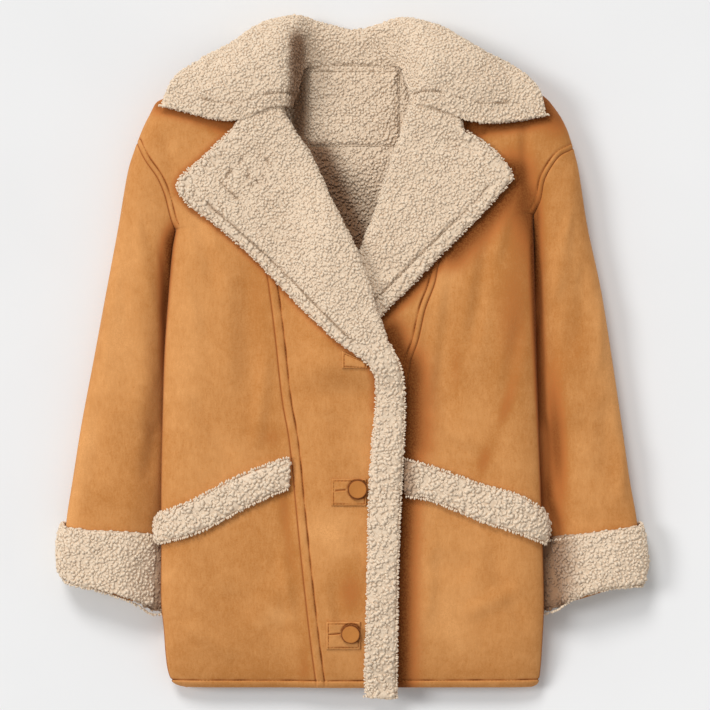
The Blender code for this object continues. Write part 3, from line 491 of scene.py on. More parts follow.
# Stage, in metres: half of the floor's side and its level, strength of the room's light, then the suns
# (name, energy, way that their light goes, all with one width), then the camera.
FLOOR_HALF = 5.0
FLOOR_LEVEL = -0.0004
ROOM_LIGHT = 0.47
WINDOWS = (("window_side", 1.15, (1.0, -0.2, -1.0)), ("window_top", 1.4, (0.35, -1.0, -1.0)))
WINDOW_WIDTH = 0.36
LENS = 200.0
SENSOR = 36.0
VIEW_END = 50.0
CAMERA_PLACE = (0.0029, 0.00115, 4.566)

# Ways and masks for arrays of places.
UP = np.array([0.0, 0.0, 1.0])
LEVEL = np.array([1.0, 1.0, 0.0])


# Numbers, on arrays of places.


def clamp(value):
    return np.clip(value, 0.0, 1.0)


def smooth(value):
    """Ramp from 0 to 1 with soft ends."""
    value = clamp(value)
    return value * value * (3.0 - 2.0 * value)


def ramp(value, start, end):
    """Soft step from 0 at the start to 1 at the end, which may lie below the start."""
    return smooth((value - start) / (end - start))


def mix(low, high, share):
    return low + (high - low) * share


def quarter(share, power=2.0):
    """Rise of a rounded edge: steep at 0 and level at 1."""
    return (1.0 - (1.0 - clamp(share)) ** power) ** (1.0 / power)


def signed_power(value, power):
    return np.sign(value) * np.abs(value) ** power


def bump(distance, width):
    """Soft bump of height 1 on a line, gone at about two widths from it."""
    return np.exp(-(distance / width) ** 2)


def vec(x, y, z):
    return np.stack(np.broadcast_arrays(np.asarray(x, float), y, z), axis=-1)


def unit(vectors):
    return vectors / np.maximum(np.linalg.norm(vectors, axis=-1, keepdims=True), 1e-9)


def curve_between(low, high, slope_low, slope_high, t):
    """Smooth curve from one place to the next, with its slopes at both."""
    return (low * (1 + 2 * t) * (1 - t) ** 2 + slope_low * t * (1 - t) ** 2
            + high * t * t * (3 - 2 * t) + slope_high * t * t * (t - 1))


def along(rows, where):
    """Columns of a table at values of its first one, on a smooth curve through its rows."""
    table = np.array(rows, float)
    stops = table[:, 0]
    where = np.clip(np.asarray(where, float), stops[0], stops[-1])
    first = np.minimum(np.searchsorted(stops[1:], where, side="left"), len(stops) - 2)
    before = table[np.maximum(first - 1, 0)]
    low = table[first]
    high = table[first + 1]
    after = table[np.minimum(first + 2, len(stops) - 1)]
    span = (high[..., 0] - low[..., 0])[..., None]
    t = (where[..., None] - low[..., :1]) / span
    slope_low = (high - before) / (high - before)[..., :1] * span
    slope_high = (after - low) / (after - low)[..., :1] * span
    curve = curve_between(low, high, slope_low, slope_high, t)
    return [curve[..., k] for k in range(1, table.shape[1])]


def faded(place, fades):
    """Product of soft steps along the axes of a place: axis, start and end of each."""
    share = 1.0
    for axis, start, end in fades:
        share = share * ramp(place[..., axis], start, end)
    return share


def strokes(corners, points_each):
    """Columns of points on straight lines through the rows of a table."""
    spans = len(corners) - 1
    where = np.linspace(0, spans, points_each * spans + 1)
    return [np.interp(where, np.arange(spans + 1), column) for column in zip(*corners)]


def side_sign(side):
    return -1.0 if side == "right" else 1.0


# Surfaces of the body: those of the solids, with their outlines refined and finer creases added.


def fold_height(folds, x, y):
    """Height of a table's folds at a place."""
    total = 0.0
    for start_x, start_y, end_x, end_y, half_width, height in folds:
        run_x = end_x - start_x
        run_y = end_y - start_y
        length = np.hypot(run_x, run_y)
        share = ((x - start_x) * run_x + (y - start_y) * run_y) / length ** 2
        aside = np.abs((x - start_x) * run_y - (y - start_y) * run_x) / length
        ends = smooth(share / FOLD_END) * smooth((1.0 - share) / FOLD_END)
        total = total + height * ends * (1.0 - smooth(aside / (FOLD_SPREAD * half_width)))
    return total


def lap_rise(x, y):
    """How far the right front is lifted by what it laps over."""
    plain = 1.0 - ramp(y, *CROSSING_HIGH)
    crossing = plain * ramp(y, *CROSSING_LOW)
    return ramp(x, LAP_START_X, LAP_FULL_X) * (LAP_RISE * plain + CROSSING_RISE * crossing)


def front_height(side, x, y):
    """Height of a front's outer side, away from the body's side."""
    top_y, top_z = along(TOP_LINE, x)
    (crown,) = along(CROWN, y)
    rounding = quarter((top_y - y) / SHOULDER_ROUND_TOP)
    folds = fold_height(FRONT_FOLDS, x, y) + CREASE_STRENGTH * fold_height(FRONT_CREASES, x, y)
    height = mix(top_z + SHOULDER_GAP / 2, crown + folds, rounding)
    if side == "right":
        height = height + lap_rise(x, y)
    return height


def neck_lift(x, y):
    """Height of the back's underside over the floor, where the collar's fall lies beneath it."""
    return NECK_LIFT * ramp(np.abs(x), *NECK_LIFT_X) * ramp(y, *NECK_LIFT_Y)


def sleeve_ring(side, station, angle, grow):
    """Points of a sleeve's rings: angle 0 is at the body, half a turn is at the outer fold."""
    row = along(SLEEVE[side], station)
    outer_x, outer_y, inner_x, inner_y, outer_z, inner_z, top, bottom, front_shift, back_shift, dip = row
    width = np.hypot(inner_x - outer_x, inner_y - outer_y)
    across = vec((inner_x - outer_x) / width, (inner_y - outer_y) / width, 0.0)
    down = vec(-across[..., 1], across[..., 0], 0.0) * side_sign(side)
    turn_x = signed_power(np.cos(angle), RING_POWER)
    turn_z = signed_power(np.sin(angle), RING_POWER)
    middle_z = mix(outer_z, inner_z, 0.5 + 0.5 * turn_x)
    lowered_top = top - dip * smooth((turn_x - DIP_FROM) / DIP_OVER)
    rise = np.where(turn_z >= 0, lowered_top + grow - middle_z, middle_z - (bottom - grow)) * turn_z
    bow = along(ARMHOLE_BOW[side], 0.5 - 0.5 * turn_x)[0] * (1.0 - smooth(station / BOW_END))
    shift = np.where(turn_z >= 0, front_shift - bow, -back_shift) * turn_z
    centre = vec((outer_x + inner_x) / 2, (outer_y + inner_y) / 2, middle_z + rise)
    return centre + across * ((width / 2 + grow) * turn_x)[..., None] + down * shift[..., None]


def armhole(side, turn, grow):
    """Points of the armhole on the body: turn 0 at the underarm, 1 or -1 at the shoulder tip."""
    row = SLEEVE[side][0]
    across = unit(vec(row[3] - row[1], row[4] - row[2], 0.0))
    down = vec(-across[1], across[0], 0.0) * side_sign(side)
    return sleeve_ring(side, np.zeros_like(turn), turn * pi, grow) - down * SEAM_GAP


def side_edge(side, share, front):
    """Outer edge of a body panel at its side: the points, and the way from the inner to the outer wall."""
    lift = np.array([0.0, 0.0, SEAM_GAP / 2 if front else -SEAM_GAP / 2])
    pit_y = SLEEVE[side][0][4]
    y = mix(HEM_Y, pit_y, share / PIT_SHARE)
    x, z = along(SIDE[side], y)
    turn = clamp((share - PIT_SHARE) / (1.0 - PIT_SHARE)) * (1.0 if front else -1.0)
    opening = armhole(side, turn, 0.0)
    below = (share < PIT_SHARE - 0.0001)[..., None]
    point = np.where(below, vec(x, y, z), opening)
    level = np.array([side_sign(side) * BODY_WALL, 0.0, 0.0])
    wall = np.where(below, level, opening - armhole(side, turn, -BODY_WALL))
    return point + lift, wall


def top_edge(x, front):
    """Top edge of a body panel: the points, and the way from the inner to the outer wall."""
    y, z = along(TOP_LINE, x)
    ahead = along(TOP_LINE, x + 1.0)[0]
    behind = along(TOP_LINE, x - 1.0)[0]
    normal = unit(vec(behind - ahead, 2.0, 0.0))
    gap = SHOULDER_GAP / 2 if front else -SHOULDER_GAP / 2
    return vec(x, y, z + gap), normal * BODY_WALL


def top_weight(share):
    """How far a row follows the shoulder line instead of the straight line across."""
    return smooth((share - SHOULDER_LINE_FROM) / (1.0 - SHOULDER_LINE_FROM)) ** 2


def wall_way(level, near_top, rounded, edge_wall, top_wall):
    """Way out of a panel's wall: level, but turned out at its side and at its shoulder."""
    wall = vec(0.0, 0.0, level) * (near_top * rounded)[..., None] + edge_wall * (1 - rounded)[..., None]
    return unit(wall + top_wall * ((1 - near_top) * rounded)[..., None])


def side_front_point(side, u, share):
    """Outer points of a side front and the ways out of its wall: u runs from the side to the seam."""
    edge, edge_wall = side_edge(side, share, True)
    seam_y = mix(HEM_Y, PRINCESS[side][-1][0], share)
    gap = side_sign(side) * SEAM_GAP / 2
    seam_x = along(PRINCESS[side], seam_y)[0] + gap
    tip = side_edge(side, np.array(1.0), True)[0]
    shoulder, top_wall = top_edge(mix(tip[0], PRINCESS[side][-1][1] + gap, u), True)
    straight_y = mix(tip[1], PRINCESS[side][-1][0], u)
    x = mix(edge[..., 0], seam_x, u)
    y = mix(edge[..., 1], seam_y, u) + top_weight(share) * (shoulder[..., 1] - straight_y)
    reach = np.abs(x - edge[..., 0]) / SIDE_ROUND_TOP
    slanted = smooth(0.5 + 0.5 * reach) * 2 - 1
    rounded = mix(quarter(reach), slanted, smooth((share - PIT_SHARE) / ARMHOLE_BLEND))
    height = mix(edge[..., 2], front_height(side, x, y), rounded)
    near_top = quarter((along(TOP_LINE, x)[0] - y) / SHOULDER_ROUND_TOP)
    return vec(x, y, height), wall_way(BODY_WALL, near_top, rounded, edge_wall, top_wall)


def centre_front_point(side, u, share):
    """Outer points of a centre front and the ways out of its wall: u runs from the seam to the edge."""
    seam_y = mix(HEM_Y, PRINCESS[side][-1][0], share)
    edge_y = mix(HEM_Y, FRONT_EDGE[side][-1][0], share)
    seam_x = along(PRINCESS[side], seam_y)[0] - side_sign(side) * SEAM_GAP / 2
    x = mix(seam_x, along(FRONT_EDGE[side], edge_y)[0], u)
    y = mix(seam_y, edge_y, u)
    shoulder, top_wall = top_edge(mix(PRINCESS[side][-1][1], FRONT_EDGE[side][-1][1], u), True)
    straight_y = mix(PRINCESS[side][-1][0], FRONT_EDGE[side][-1][0], u)
    y = y + top_weight(share) * (shoulder[..., 1] - straight_y)
    near_top = quarter((along(TOP_LINE, x)[0] - y) / SHOULDER_ROUND_TOP)
    wall = vec(0.0, 0.0, BODY_WALL) * near_top[..., None] + top_wall * (1 - near_top)[..., None]
    return vec(x, y, front_height(side, x, y) + SEAM_GAP / 2), unit(wall)


def back_point(u, share):
    """Outer points of the back and the ways out of its wall: u runs from the right side to the left."""
    right, right_wall = side_edge("right", share, False)
    left, left_wall = side_edge("left", share, False)
    right_tip = side_edge("right", np.array(1.0), False)[0]
    left_tip = side_edge("left", np.array(1.0), False)[0]
    x = mix(right[..., 0], left[..., 0], u)
    shoulder, top_wall = top_edge(mix(right_tip[0], left_tip[0], u), False)
    straight_y = mix(right_tip[1], left_tip[1], u)
    y = mix(right[..., 1], left[..., 1], u) + top_weight(share) * (shoulder[..., 1] - straight_y)
    first = (u < 0.5)[..., None]
    edge = np.where(first, right, left)
    edge_wall = np.where(first, right_wall, left_wall)
    rounded = quarter(np.abs(x - edge[..., 0]) / SIDE_ROUND_BOTTOM, SIDE_POWER)
    top_y, top_z = along(TOP_LINE, x)
    near_top = quarter((top_y - y) / SHOULDER_ROUND_BOTTOM)
    lift = neck_lift(x, y) + fold_height(BACK_CREASES, x, y)
    level = mix(np.maximum(top_z, lift), lift, near_top)
    height = mix(edge[..., 2], level - SHOULDER_GAP / 2 * (1 - near_top), rounded)
    at_neck = smooth((NECK_HALF - np.abs(x)) / NECK_FADE)
    near_top = mix(near_top, 1.0, at_neck)
    return vec(x, y, height), wall_way(-BODY_WALL, near_top, rounded, edge_wall, top_wall)


def back_inside(x, y):
    """Height of the back's inner side."""
    return neck_lift(x, y) + fold_height(BACK_CREASES, x, y) + BODY_WALL


# Seams, hem and grids of the cloth.


def pucker(place):
    """Uneven pull of the thread along a stitched line."""
    return 1.0 + 0.3 * np.sin(place / 4.3) + 0.25 * np.sin(place / 11.0 + 1.3)


def seam_relief(distance, strip, place):
    """Height beside a seam: a sunk line on it and, over its allowance, a strip that ends in a stitched dent.
    """
    relief = -GROOVE_DEPTH * bump(distance, GROOVE_WIDTH)
    if strip:
        beyond = distance - strip
        raised = smooth(distance / STRIP_START) * (1.0 - smooth((beyond + STRIP_END) / STRIP_FADE))
        relief = relief + STRIP_RISE * raised + 0.25 * bump(beyond - 2.6, 1.6)
        relief = relief - STITCH_DENT * bump(beyond, STITCH_DENT_WIDTH) * pucker(place)
    return relief


def hem_relief(height, place):
    """Height over the turned hem: full below its stitches, which pull it in."""
    beyond = height - HEM_STITCH
    raised = smooth(height / HEM_START) * (1.0 - smooth((beyond + HEM_END) / HEM_FADE))
    return STRIP_RISE * raised - bump(beyond, HEM_DENT_WIDTH) * pucker(place)


def beside_seam(strip):
    """Distances from a seam at which a panel has columns, close together where it bends."""
    near = [-SEAM_OVERLAP, 0.5, 1.1, 1.9, 3.0]
    if strip:
        near += [strip + beyond for beyond in (-2.0, -1.0, 0.0, 1.0, 2.0, 3.4, 5.6) if strip + beyond > 3.5]
    return np.array(near)


def seam_distance(strips, place, across, share):
    """Distance from a panel's first seam, which is the armhole above the underarm of a side front."""
    if strips[0] != ARMHOLE_STRIP:
        return across
    side = "left" if place[..., 0].mean() > 0 else "right"
    line = armhole(side, np.linspace(0.0, 1.0, 300), 0.0) * LEVEL
    return np.where(share > PIT_SHARE, near_line(place * LEVEL, [line]), across)


def ways_beside(point, strips, share, width, wanted):
    """Ways across from a panel's first edge, row by row, of the points at wanted distances from its seam."""
    ways = np.broadcast_to(wanted, (len(share), len(wanted))).copy()
    above = np.flatnonzero(share[:, 0] > PIT_SHARE + 0.002)
    if strips[0] == ARMHOLE_STRIP and len(above):
        fine = np.linspace(0.0, 0.2, 120)
        u, rows = np.broadcast_arrays(fine[None, :], share[above])
        away = seam_distance(strips, point(u, rows)[0], u * width[above], rows)
        for row, reached in zip(above, np.maximum.accumulate(away, axis=1)):
            first = np.interp(wanted, reached, fine) * width[row]
            ways[row] = np.where(wanted < 0, wanted, np.maximum(first, 0.05 * np.maximum(wanted, 0.0)))
    return ways


def columns_across(width, near, far, step):
    """Shares across a panel of each row's width, close beside both of its seams."""
    between = width - near[:, -1:] - far[-1]
    count = max(int(round(float(np.mean(between)) / step)), 2)
    even = near[:, -1:] + between * (np.arange(1, count) / count)
    places = [near, even, width - far[::-1]]
    return np.concatenate(places, axis=1) / width


def rows_up(step):
    """Rows of a panel, from the inside of its hem to the shoulder: share and depth of each."""
    regular = np.arange(HEM_FLAT[-1] + step, PANEL_LENGTH - SHOULDER_ROWS[0] - step / 2, step)
    ways = [way for way, depth in HEM_ROLL] + list(HEM_FLAT) + list(regular)
    ways += [PANEL_LENGTH - way for way in SHOULDER_ROWS]
    depths = [depth for way, depth in HEM_ROLL] + [0.0] * (len(ways) - len(HEM_ROLL))
    return np.array(ways)[:, None] / PANEL_LENGTH, np.array(depths)[:, None]


def panel_width(point, share):
    """Width of a panel at each of its rows."""
    first, last = (point(np.array(u), share)[0][..., 0] for u in (0.0, 1.0))
    return np.abs(last - first)


def panel_skin(point, strips, u, share, depth=0.0):
    """Outside of a body panel with its seams and hem: its points, the ways out of them, its relief."""
    place, wall = point(u, share)
    width = panel_width(point, share)
    y = place[..., 1]
    away = seam_distance(strips, place, u * width, share)
    relief = seam_relief(away, strips[0], y)
    if strips[0] == ARMHOLE_STRIP:
        stitched = smooth((share - PIT_SHARE) / 0.06) * (1.0 - smooth((share - 0.975) / 0.02))
        relief = mix(seam_relief(away, 0.0, y), relief, 0.8 * stitched)
    relief = relief + seam_relief((1.0 - u) * width, strips[1], y)
    relief = relief + hem_relief(share * PANEL_LENGTH, place[..., 0])
    relief = relief - GROOVE_DEPTH * bump((1.0 - share) * PANEL_LENGTH, GROOVE_WIDTH)
    relief = relief * (1.0 - smooth(depth / 1.5))
    return place + wall * (relief - depth)[..., None], wall, relief


def panels():
    """Body panels: name, point function, widths of the stitched strips at both edges, step."""
    rows = [("back", back_point, (0.0, 0.0), BACK_STEP)]
    for side in SIDES:
        for part, point, strip in (("side_front_", side_front_point, ARMHOLE_STRIP),
                                   ("centre_front_", centre_front_point, PRINCESS_STRIP[side])):
            rows.append((part + side, partial(point, side), (strip, 0.0), SUEDE_STEP))
    return rows


def panel_grid(point, strips, step):
    """Grid of a panel's outside: its points, the ways out of them, its relief."""
    share, depth = rows_up(step)
    width = panel_width(point, share).reshape(-1, 1)
    near = ways_beside(point, strips, share, width, beside_seam(strips[0]))
    u = columns_across(width, near, beside_seam(strips[1]), step)
    return panel_skin(point, strips, u, share, depth)


def creased_ring(side, station, angle, grow):
    """Sleeve's rings with its creases: angle 0 is at the body, half a turn is at the outer fold."""
    shift = np.array([side_sign(side) * SLEEVE_CLEARANCE, -SLEEVE_CLEARANCE, 0.0])
    place = sleeve_ring(side, station, angle, grow) + shift
    out = unit(sleeve_ring(side, station, angle, 0.0) - sleeve_ring(side, station, angle, -BODY_WALL))
    creases = [(a * SLEEVE_LENGTH, b * SLEEVE_HALF_ROUND, c * SLEEVE_LENGTH, d * SLEEVE_HALF_ROUND, w, h)
               for a, b, c, d, w, h in SLEEVE_CREASES]
    crease = fold_height(creases, station * SLEEVE_LENGTH, (angle / pi) * SLEEVE_HALF_ROUND)
    return place + out * (CREASE_STRENGTH * crease)[..., None], out


def sleeve_skin(side, station, angle):
    """Outside of a sleeve with its creases and seams: its points, the ways out of them, its relief."""
    place, out = creased_ring(side, station, angle, 0.0)
    way = station * SLEEVE_LENGTH
    around = (angle / pi) * SLEEVE_HALF_ROUND
    relief = -0.6 * bump(way, 1.2) + 0.25 * bump(way - 5.0, 4.0) * smooth(way / 2.0)
    seam = np.abs(around - SLEEVE_SEAM_TURN * SLEEVE_HALF_ROUND)
    relief = relief - 0.8 * bump(seam, 1.2)
    return place + out * relief[..., None], out, relief


def sleeve_grid(side):
    """Grid of a sleeve's outside, its first row tucked into the armhole: points, ways out, relief."""
    near = np.array(SLEEVE_FIRST_ROWS)
    stations = np.concatenate([near, np.arange(near[-1] + SLEEVE_STEP, SLEEVE_LENGTH, SLEEVE_STEP),
                               [SLEEVE_LENGTH]])[:, None] / SLEEVE_LENGTH
    count = int(2 * SLEEVE_HALF_ROUND / SLEEVE_STEP)
    angles = np.arange(count)[None, :] / count * 2 * pi
    place, out, relief = sleeve_skin(side, stations + 0 * angles, angles + 0 * stations)
    tucked = place[:1] + unit(place[:1] - place[1:2]) * 0.8 - out[:1] * 0.9
    return [np.concatenate(pair) for pair in ((tucked, place), (out[:1], out), (relief[:1], relief))]


# Pile pieces, as the outside of each one.


def wander(points, size, seed=0.0):
    """Gentle unevenness of a surface, about -1 to 1, with bumps of a given size."""
    x, y, z = (points[..., k] / size for k in range(3))
    first = np.sin(x * 1.7 + 1.3 * np.sin(y * 1.1 + seed) + seed) * np.cos(y * 1.9 + 0.9 * np.sin(z + x))
    second = np.sin(x * 0.7 - y * 1.3 + z * 1.1 + 2.0 * seed + 0.7)
    return 0.6 * first + 0.4 * second


def smooth_loop(points, count):
    """Points evenly spaced on a smooth closed curve through the given ones."""
    points = np.array(points, float)
    doubled = np.concatenate([points[-2:], points, points[:3]])
    ways = np.concatenate([[0.0], np.cumsum(np.linalg.norm(np.diff(doubled, axis=0), axis=1))])
    start = ways[2]
    end = ways[2 + len(points)]
    places = start + (end - start) * np.arange(count) / count
    return np.stack(along(np.column_stack([ways, doubled]), places), axis=-1)


def collar_centre(across, share):
    """Points on the middle of the collar's wall; the left half mirrors the right one."""
    across, share = np.broadcast_arrays(across, share)
    if np.any(across < 0):
        edge, inward = collar_centre(0.0 * across, share), collar_centre(0.0 * across + 0.02, share)
        beyond = edge + (inward - edge) * (across / 0.02)[..., None]
        return np.where((across < 0)[..., None], beyond, collar_centre(np.maximum(across, 0.0), share))
    mirrored = share > 0.5
    row = along(COLLAR, np.where(mirrored, 1.0 - share, share))
    place = np.zeros(across.shape + (3,))
    for k in range(len(COLLAR_ACROSS) - 1):
        inside = (across >= COLLAR_ACROSS[k]) & (across <= COLLAR_ACROSS[k + 1])
        place = np.where(inside[..., None], collar_span(row, k, across), place)
    x, y, z = (place[..., k] for k in range(3))
    drop = LEFT_TIP_DROP * across * smooth((-x - TIP_DROP_FROM) / TIP_DROP_OVER)
    aside_x, aside_y = along(LEFT_COLLAR, np.where(mirrored, 1.0 - share, 0.5))
    weight = smooth(across / 0.5)
    x, y = np.where(mirrored, -x, x), np.where(mirrored, y - drop, y)
    return vec(x + aside_x * weight, y + aside_y * weight, z)


def collar_span(row, k, across):
    """Smooth curve across the collar between its stops k and k + 1."""
    stops = COLLAR_ACROSS
    last = len(stops) - 1
    ends = [max(k - 1, 0), k, k + 1, min(k + 2, last)]
    before, low, high, after = (np.stack(row[3 * e:3 * e + 3], axis=-1) for e in ends)
    span = stops[k + 1] - stops[k]
    t = ((across - stops[k]) / span)[..., None]
    slope_low = (high - before) / (stops[ends[2]] - stops[ends[0]]) * span
    slope_high = (after - low) / (stops[ends[3]] - stops[ends[1]]) * span
    return curve_between(low, high, slope_low, slope_high, t)


def collar_surface(u, v):
    """Middle of the collar's wall and the way out of its underside."""
    step = COLLAR_STEP
    to_edge = collar_centre(np.minimum(u + step, 1.0), v) - collar_centre(u - step, v)
    to_left = collar_centre(u, np.minimum(v + step, 1.0)) - collar_centre(u, np.maximum(v - step, 0.0))
    return collar_centre(u, v), unit(np.cross(to_edge, to_left))


def facing_outline(side, width):
    """Closed outline across a facing of a given width: distance from the roll, height."""
    under = LEAF_UNDER[side]
    start = LIP_OUTLINE[-1][0]
    end = width - LEAF_EDGE[0][0]
    count = max(int((end - start) / LEAF_SPAN), 2)
    shares = [k / count for k in range(1, count)]
    outline = list(LIP_OUTLINE)
    outline += [(mix(start, end, share), LEAF_TOP) for share in shares]
    outline += [(width - inset, height) for inset, height in LEAF_EDGE]
    outline.append((width - LEAF_EDGE_UNDER, under))
    outline += [(mix(start, end, share), under) for share in reversed(shares)]
    outline.append((LIP_OUTLINE[0][0], under))
    return outline


def facing_across(side, share):
    """Roll of a facing at a share of its length, the way across to its outer edge, and its width."""
    roll_x, roll_y, edge_x, edge_y = along(FACING[side], share)
    width = np.hypot(edge_x - roll_x, edge_y - roll_y)
    return roll_x, roll_y, (edge_x - roll_x) / width, (edge_y - roll_y) / width, width


def facing_place(side, share, distance, height):
    """Point of a facing at a share of its length, a distance from its roll and a height over the front."""
    roll_x, roll_y, way_x, way_y, _ = facing_across(side, share)
    x = roll_x + way_x * distance
    y = roll_y + way_y * distance
    rise = GORGE_RISE[side] * smooth((share - GORGE_FROM) / 0.06)
    return vec(x, y, front_height(side, x, y) + height + rise * smooth(height / LEAF_TOP))


def facing_grid(side, rows):
    """Rings of a facing from its foot to the gorge."""
    rings = []
    for share in np.linspace(0.0, FACING[side][-1][0], rows + 1):
        loop = smooth_loop(facing_outline(side, float(facing_across(side, share)[-1])), FACING_ROUND)
        rings.append(facing_place(side, share + 0 * loop[:, 0], loop[:, 0], loop[:, 1]))
    return np.array(rings)


def cuff_share(station):
    """Share of the way across a cuff, from its upper edge to its lower one."""
    return clamp((station - CUFF_STATIONS[0]) / (CUFF_STATIONS[1] - CUFF_STATIONS[0]))


def cuff_place(side, station, angle, grow):
    """Points round a cuff, its front half pulled up or down over the sleeve."""
    place = sleeve_ring(side, station, angle, grow)
    outer_x, outer_y, inner_x, inner_y = along(SLEEVE[side], station)[:4]
    width = np.hypot(inner_x - outer_x, inner_y - outer_y)
    up = vec((inner_y - outer_y) / width, (outer_x - inner_x) / width, 0.0) * side_sign(side)
    upper, lower = along(CUFF_SET[side], signed_power(np.cos(angle), RING_POWER))
    in_front = smooth(signed_power(np.sin(angle), RING_POWER) / 0.4)
    return place + up * (mix(upper, lower, cuff_share(station)) * in_front)[..., None]


def cuff_grid(side):
    """Rings of a cuff across its wall, all the way around the sleeve, with their stations and half turns."""
    table = [(station * SLEEVE_LENGTH, grow) for station, grow in CUFF_OUTLINE]
    loop = smooth_loop(table, CUFF_ROUND)[None]
    turn = (np.arange(CUFF_RINGS) / CUFF_RINGS * 2)[:, None]
    station = loop[..., 0] / SLEEVE_LENGTH
    rings = cuff_place(side, station + 0 * turn, turn * pi + 0 * station, loop[..., 1] + 0 * turn)
    return rings, station, turn


def welt_place(side, distance, share, height):
    """Point of a pocket welt, a distance from the side seam and a share of the way down across it."""
    upper, lower = along(WELT[side], distance)
    y = mix(upper, lower, share)
    edge_x, edge_z = along(SIDE[side], y)
    x = edge_x - side_sign(side) * distance
    rounded = quarter(distance / SIDE_ROUND_TOP)
    z = mix(edge_z, front_height(side, x, y), rounded)
    out = unit(vec(side_sign(side) * (1 - rounded), 0.0, rounded))
    return vec(x, y, z) + out * (height + SEAM_GAP)[..., None]


def welt_grid(side):
    """Rings of a pocket welt from the side seam inward."""
    loop = smooth_loop([(share * WELT_WIDTH, height) for share, height in WELT_OUTLINE], WELT_ROUND)
    distance = WELT[side][-1][0] * (np.arange(WELT_ROWS + 1)[:, None] / WELT_ROWS) ** 1.2
    share = loop[None, :, 0] / WELT_WIDTH
    return welt_place(side, distance + 0 * share, share + 0 * distance, loop[None, :, 1] + 0 * distance)


# Meshes.


def grid_quads(rows, columns, wrap_rows=False, wrap_columns=False):
    """Quads of a grid of vertices, row by row."""
    row, column = np.meshgrid(np.arange(rows if wrap_rows else rows - 1),
                              np.arange(columns if wrap_columns else columns - 1), indexing="ij")
    next_row = (row + 1) % rows
    next_column = (column + 1) % columns
    corners = [row * columns + column, row * columns + next_column,
               next_row * columns + next_column, next_row * columns + column]
    return np.stack(corners, axis=-1).reshape(-1, 4)


def grid_normals(points, wrap_rows=False, wrap_columns=False):
    """Normals of a grid of points, from its neighbours."""
    across = np.gradient(points, axis=1)
    up = np.gradient(points, axis=0)
    if wrap_columns:
        across = (np.roll(points, -1, axis=1) - np.roll(points, 1, axis=1)) / 2
    if wrap_rows:
        up = (np.roll(points, -1, axis=0) - np.roll(points, 1, axis=0)) / 2
    return unit(np.cross(across, up))


def rim_quads(rows, columns, wrap_columns):
    """Quads that join the open edges of a grid to those of a second one, made right after it."""
    index = np.arange(rows * columns).reshape(rows, columns)
    if wrap_columns:
        index = np.concatenate([index, index[:, :1]], axis=1)
    edges = [index[0], index[-1][::-1]]
    if not wrap_columns:
        edges += [index[::-1, 0], index[:, -1]]
    there = rows * columns
    return np.concatenate([np.stack([edge[1:], edge[:-1], edge[:-1] + there, edge[1:] + there], axis=-1)
                           for edge in edges])


def linked(name, data, collection=None):
    """Object with its data, in the scene or in a collection."""
    made = bpy.data.objects.new(name, data)
    (bpy.context.scene.collection if collection is None else collection).objects.link(made)
    return made


def store(mesh, label, numbers, kind="FLOAT", field="value"):
    """Keep numbers on a mesh's points, under a name."""
    kept = mesh.attributes.new(label, kind, "POINT")
    kept.data.foreach_set(field, np.asarray(numbers, np.float32).ravel())


def closed_object(name, mesh, doubles=False, collection=None):
    """Smooth object of a closed mesh, its doubles merged if asked and its faces turned out."""
    bm = bmesh.new()
    bm.from_mesh(mesh)
    if doubles:
        bmesh.ops.remove_doubles(bm, verts=bm.verts, dist=MERGE)
    bmesh.ops.recalc_face_normals(bm, faces=bm.faces)
    bm.to_mesh(mesh)
    bm.free()
    mesh.shade_smooth()
    return linked(name, mesh, collection)


def made_mesh(name, points, quads, values):
    """Closed mesh object at the origin from points in millimetres, with values stored on them."""
    mesh = bpy.data.meshes.new(name)
    mesh.from_pydata((points.reshape(-1, 3) * MM).tolist(), [], quads.tolist())
    for label, numbers in values.items():
        store(mesh, label, numbers)
    return closed_object(name, mesh, True)


def shell(name, outer, inner, values, wrap_columns=False):
    """Closed shell between two grids of points, with values stored for the outer and the inner ones."""
    rows, columns = outer.shape[:2]
    face = grid_quads(rows, columns, False, wrap_columns)
    back = face[:, ::-1] + rows * columns
    rim = rim_quads(rows, columns, wrap_columns)
    points = np.concatenate([outer.reshape(-1, 3), inner.reshape(-1, 3)])
    joined = {label: np.concatenate([one.ravel() for one in pair]) for label, pair in values.items()}
    return made_mesh(name, points, np.concatenate([face, back, rim]), joined)


def capped(rings, bulge):
    """Rings of a tube with rows added at both ends that close it in a round nose."""
    def nose(end, before):
        middle = end.mean(axis=0)
        out = unit(middle - before.mean(axis=0)) * bulge
        return np.array([middle + (end - middle) * near + out * far for near, far in NOSE])

    return np.concatenate([nose(rings[0], rings[1])[::-1], rings, nose(rings[-1], rings[-2])])


def capped_values(values):
    """Values for the rows of capped rings."""
    return np.concatenate([[values[0]] * len(NOSE), values, [values[-1]] * len(NOSE)])


# Node trees.


class Socket:
    """Output of a node, with number maths written as Python."""

    def __init__(self, nodes, socket):
        self.nodes = nodes
        self.socket = socket

    def maths(self, operation, *values):
        return self.nodes.add("ShaderNodeMath", {"operation": operation}, dict(enumerate(values)))

    def __add__(self, other):
        return self.maths("ADD", self, other)

    def __sub__(self, other):
        return self.maths("SUBTRACT", self, other)

    def __mul__(self, other):
        return self.maths("MULTIPLY", self, other)

    __radd__ = __add__

    def between(self, low, high):
        """0 below one value, 1 above the other, with soft ends."""
        return self.nodes.add("ShaderNodeMapRange", {"interpolation_type": "SMOOTHSTEP"},
                              {"Value": self, "From Min": low, "From Max": high})

    def output(self, name):
        return Socket(self.nodes, self.socket.node.outputs[name])


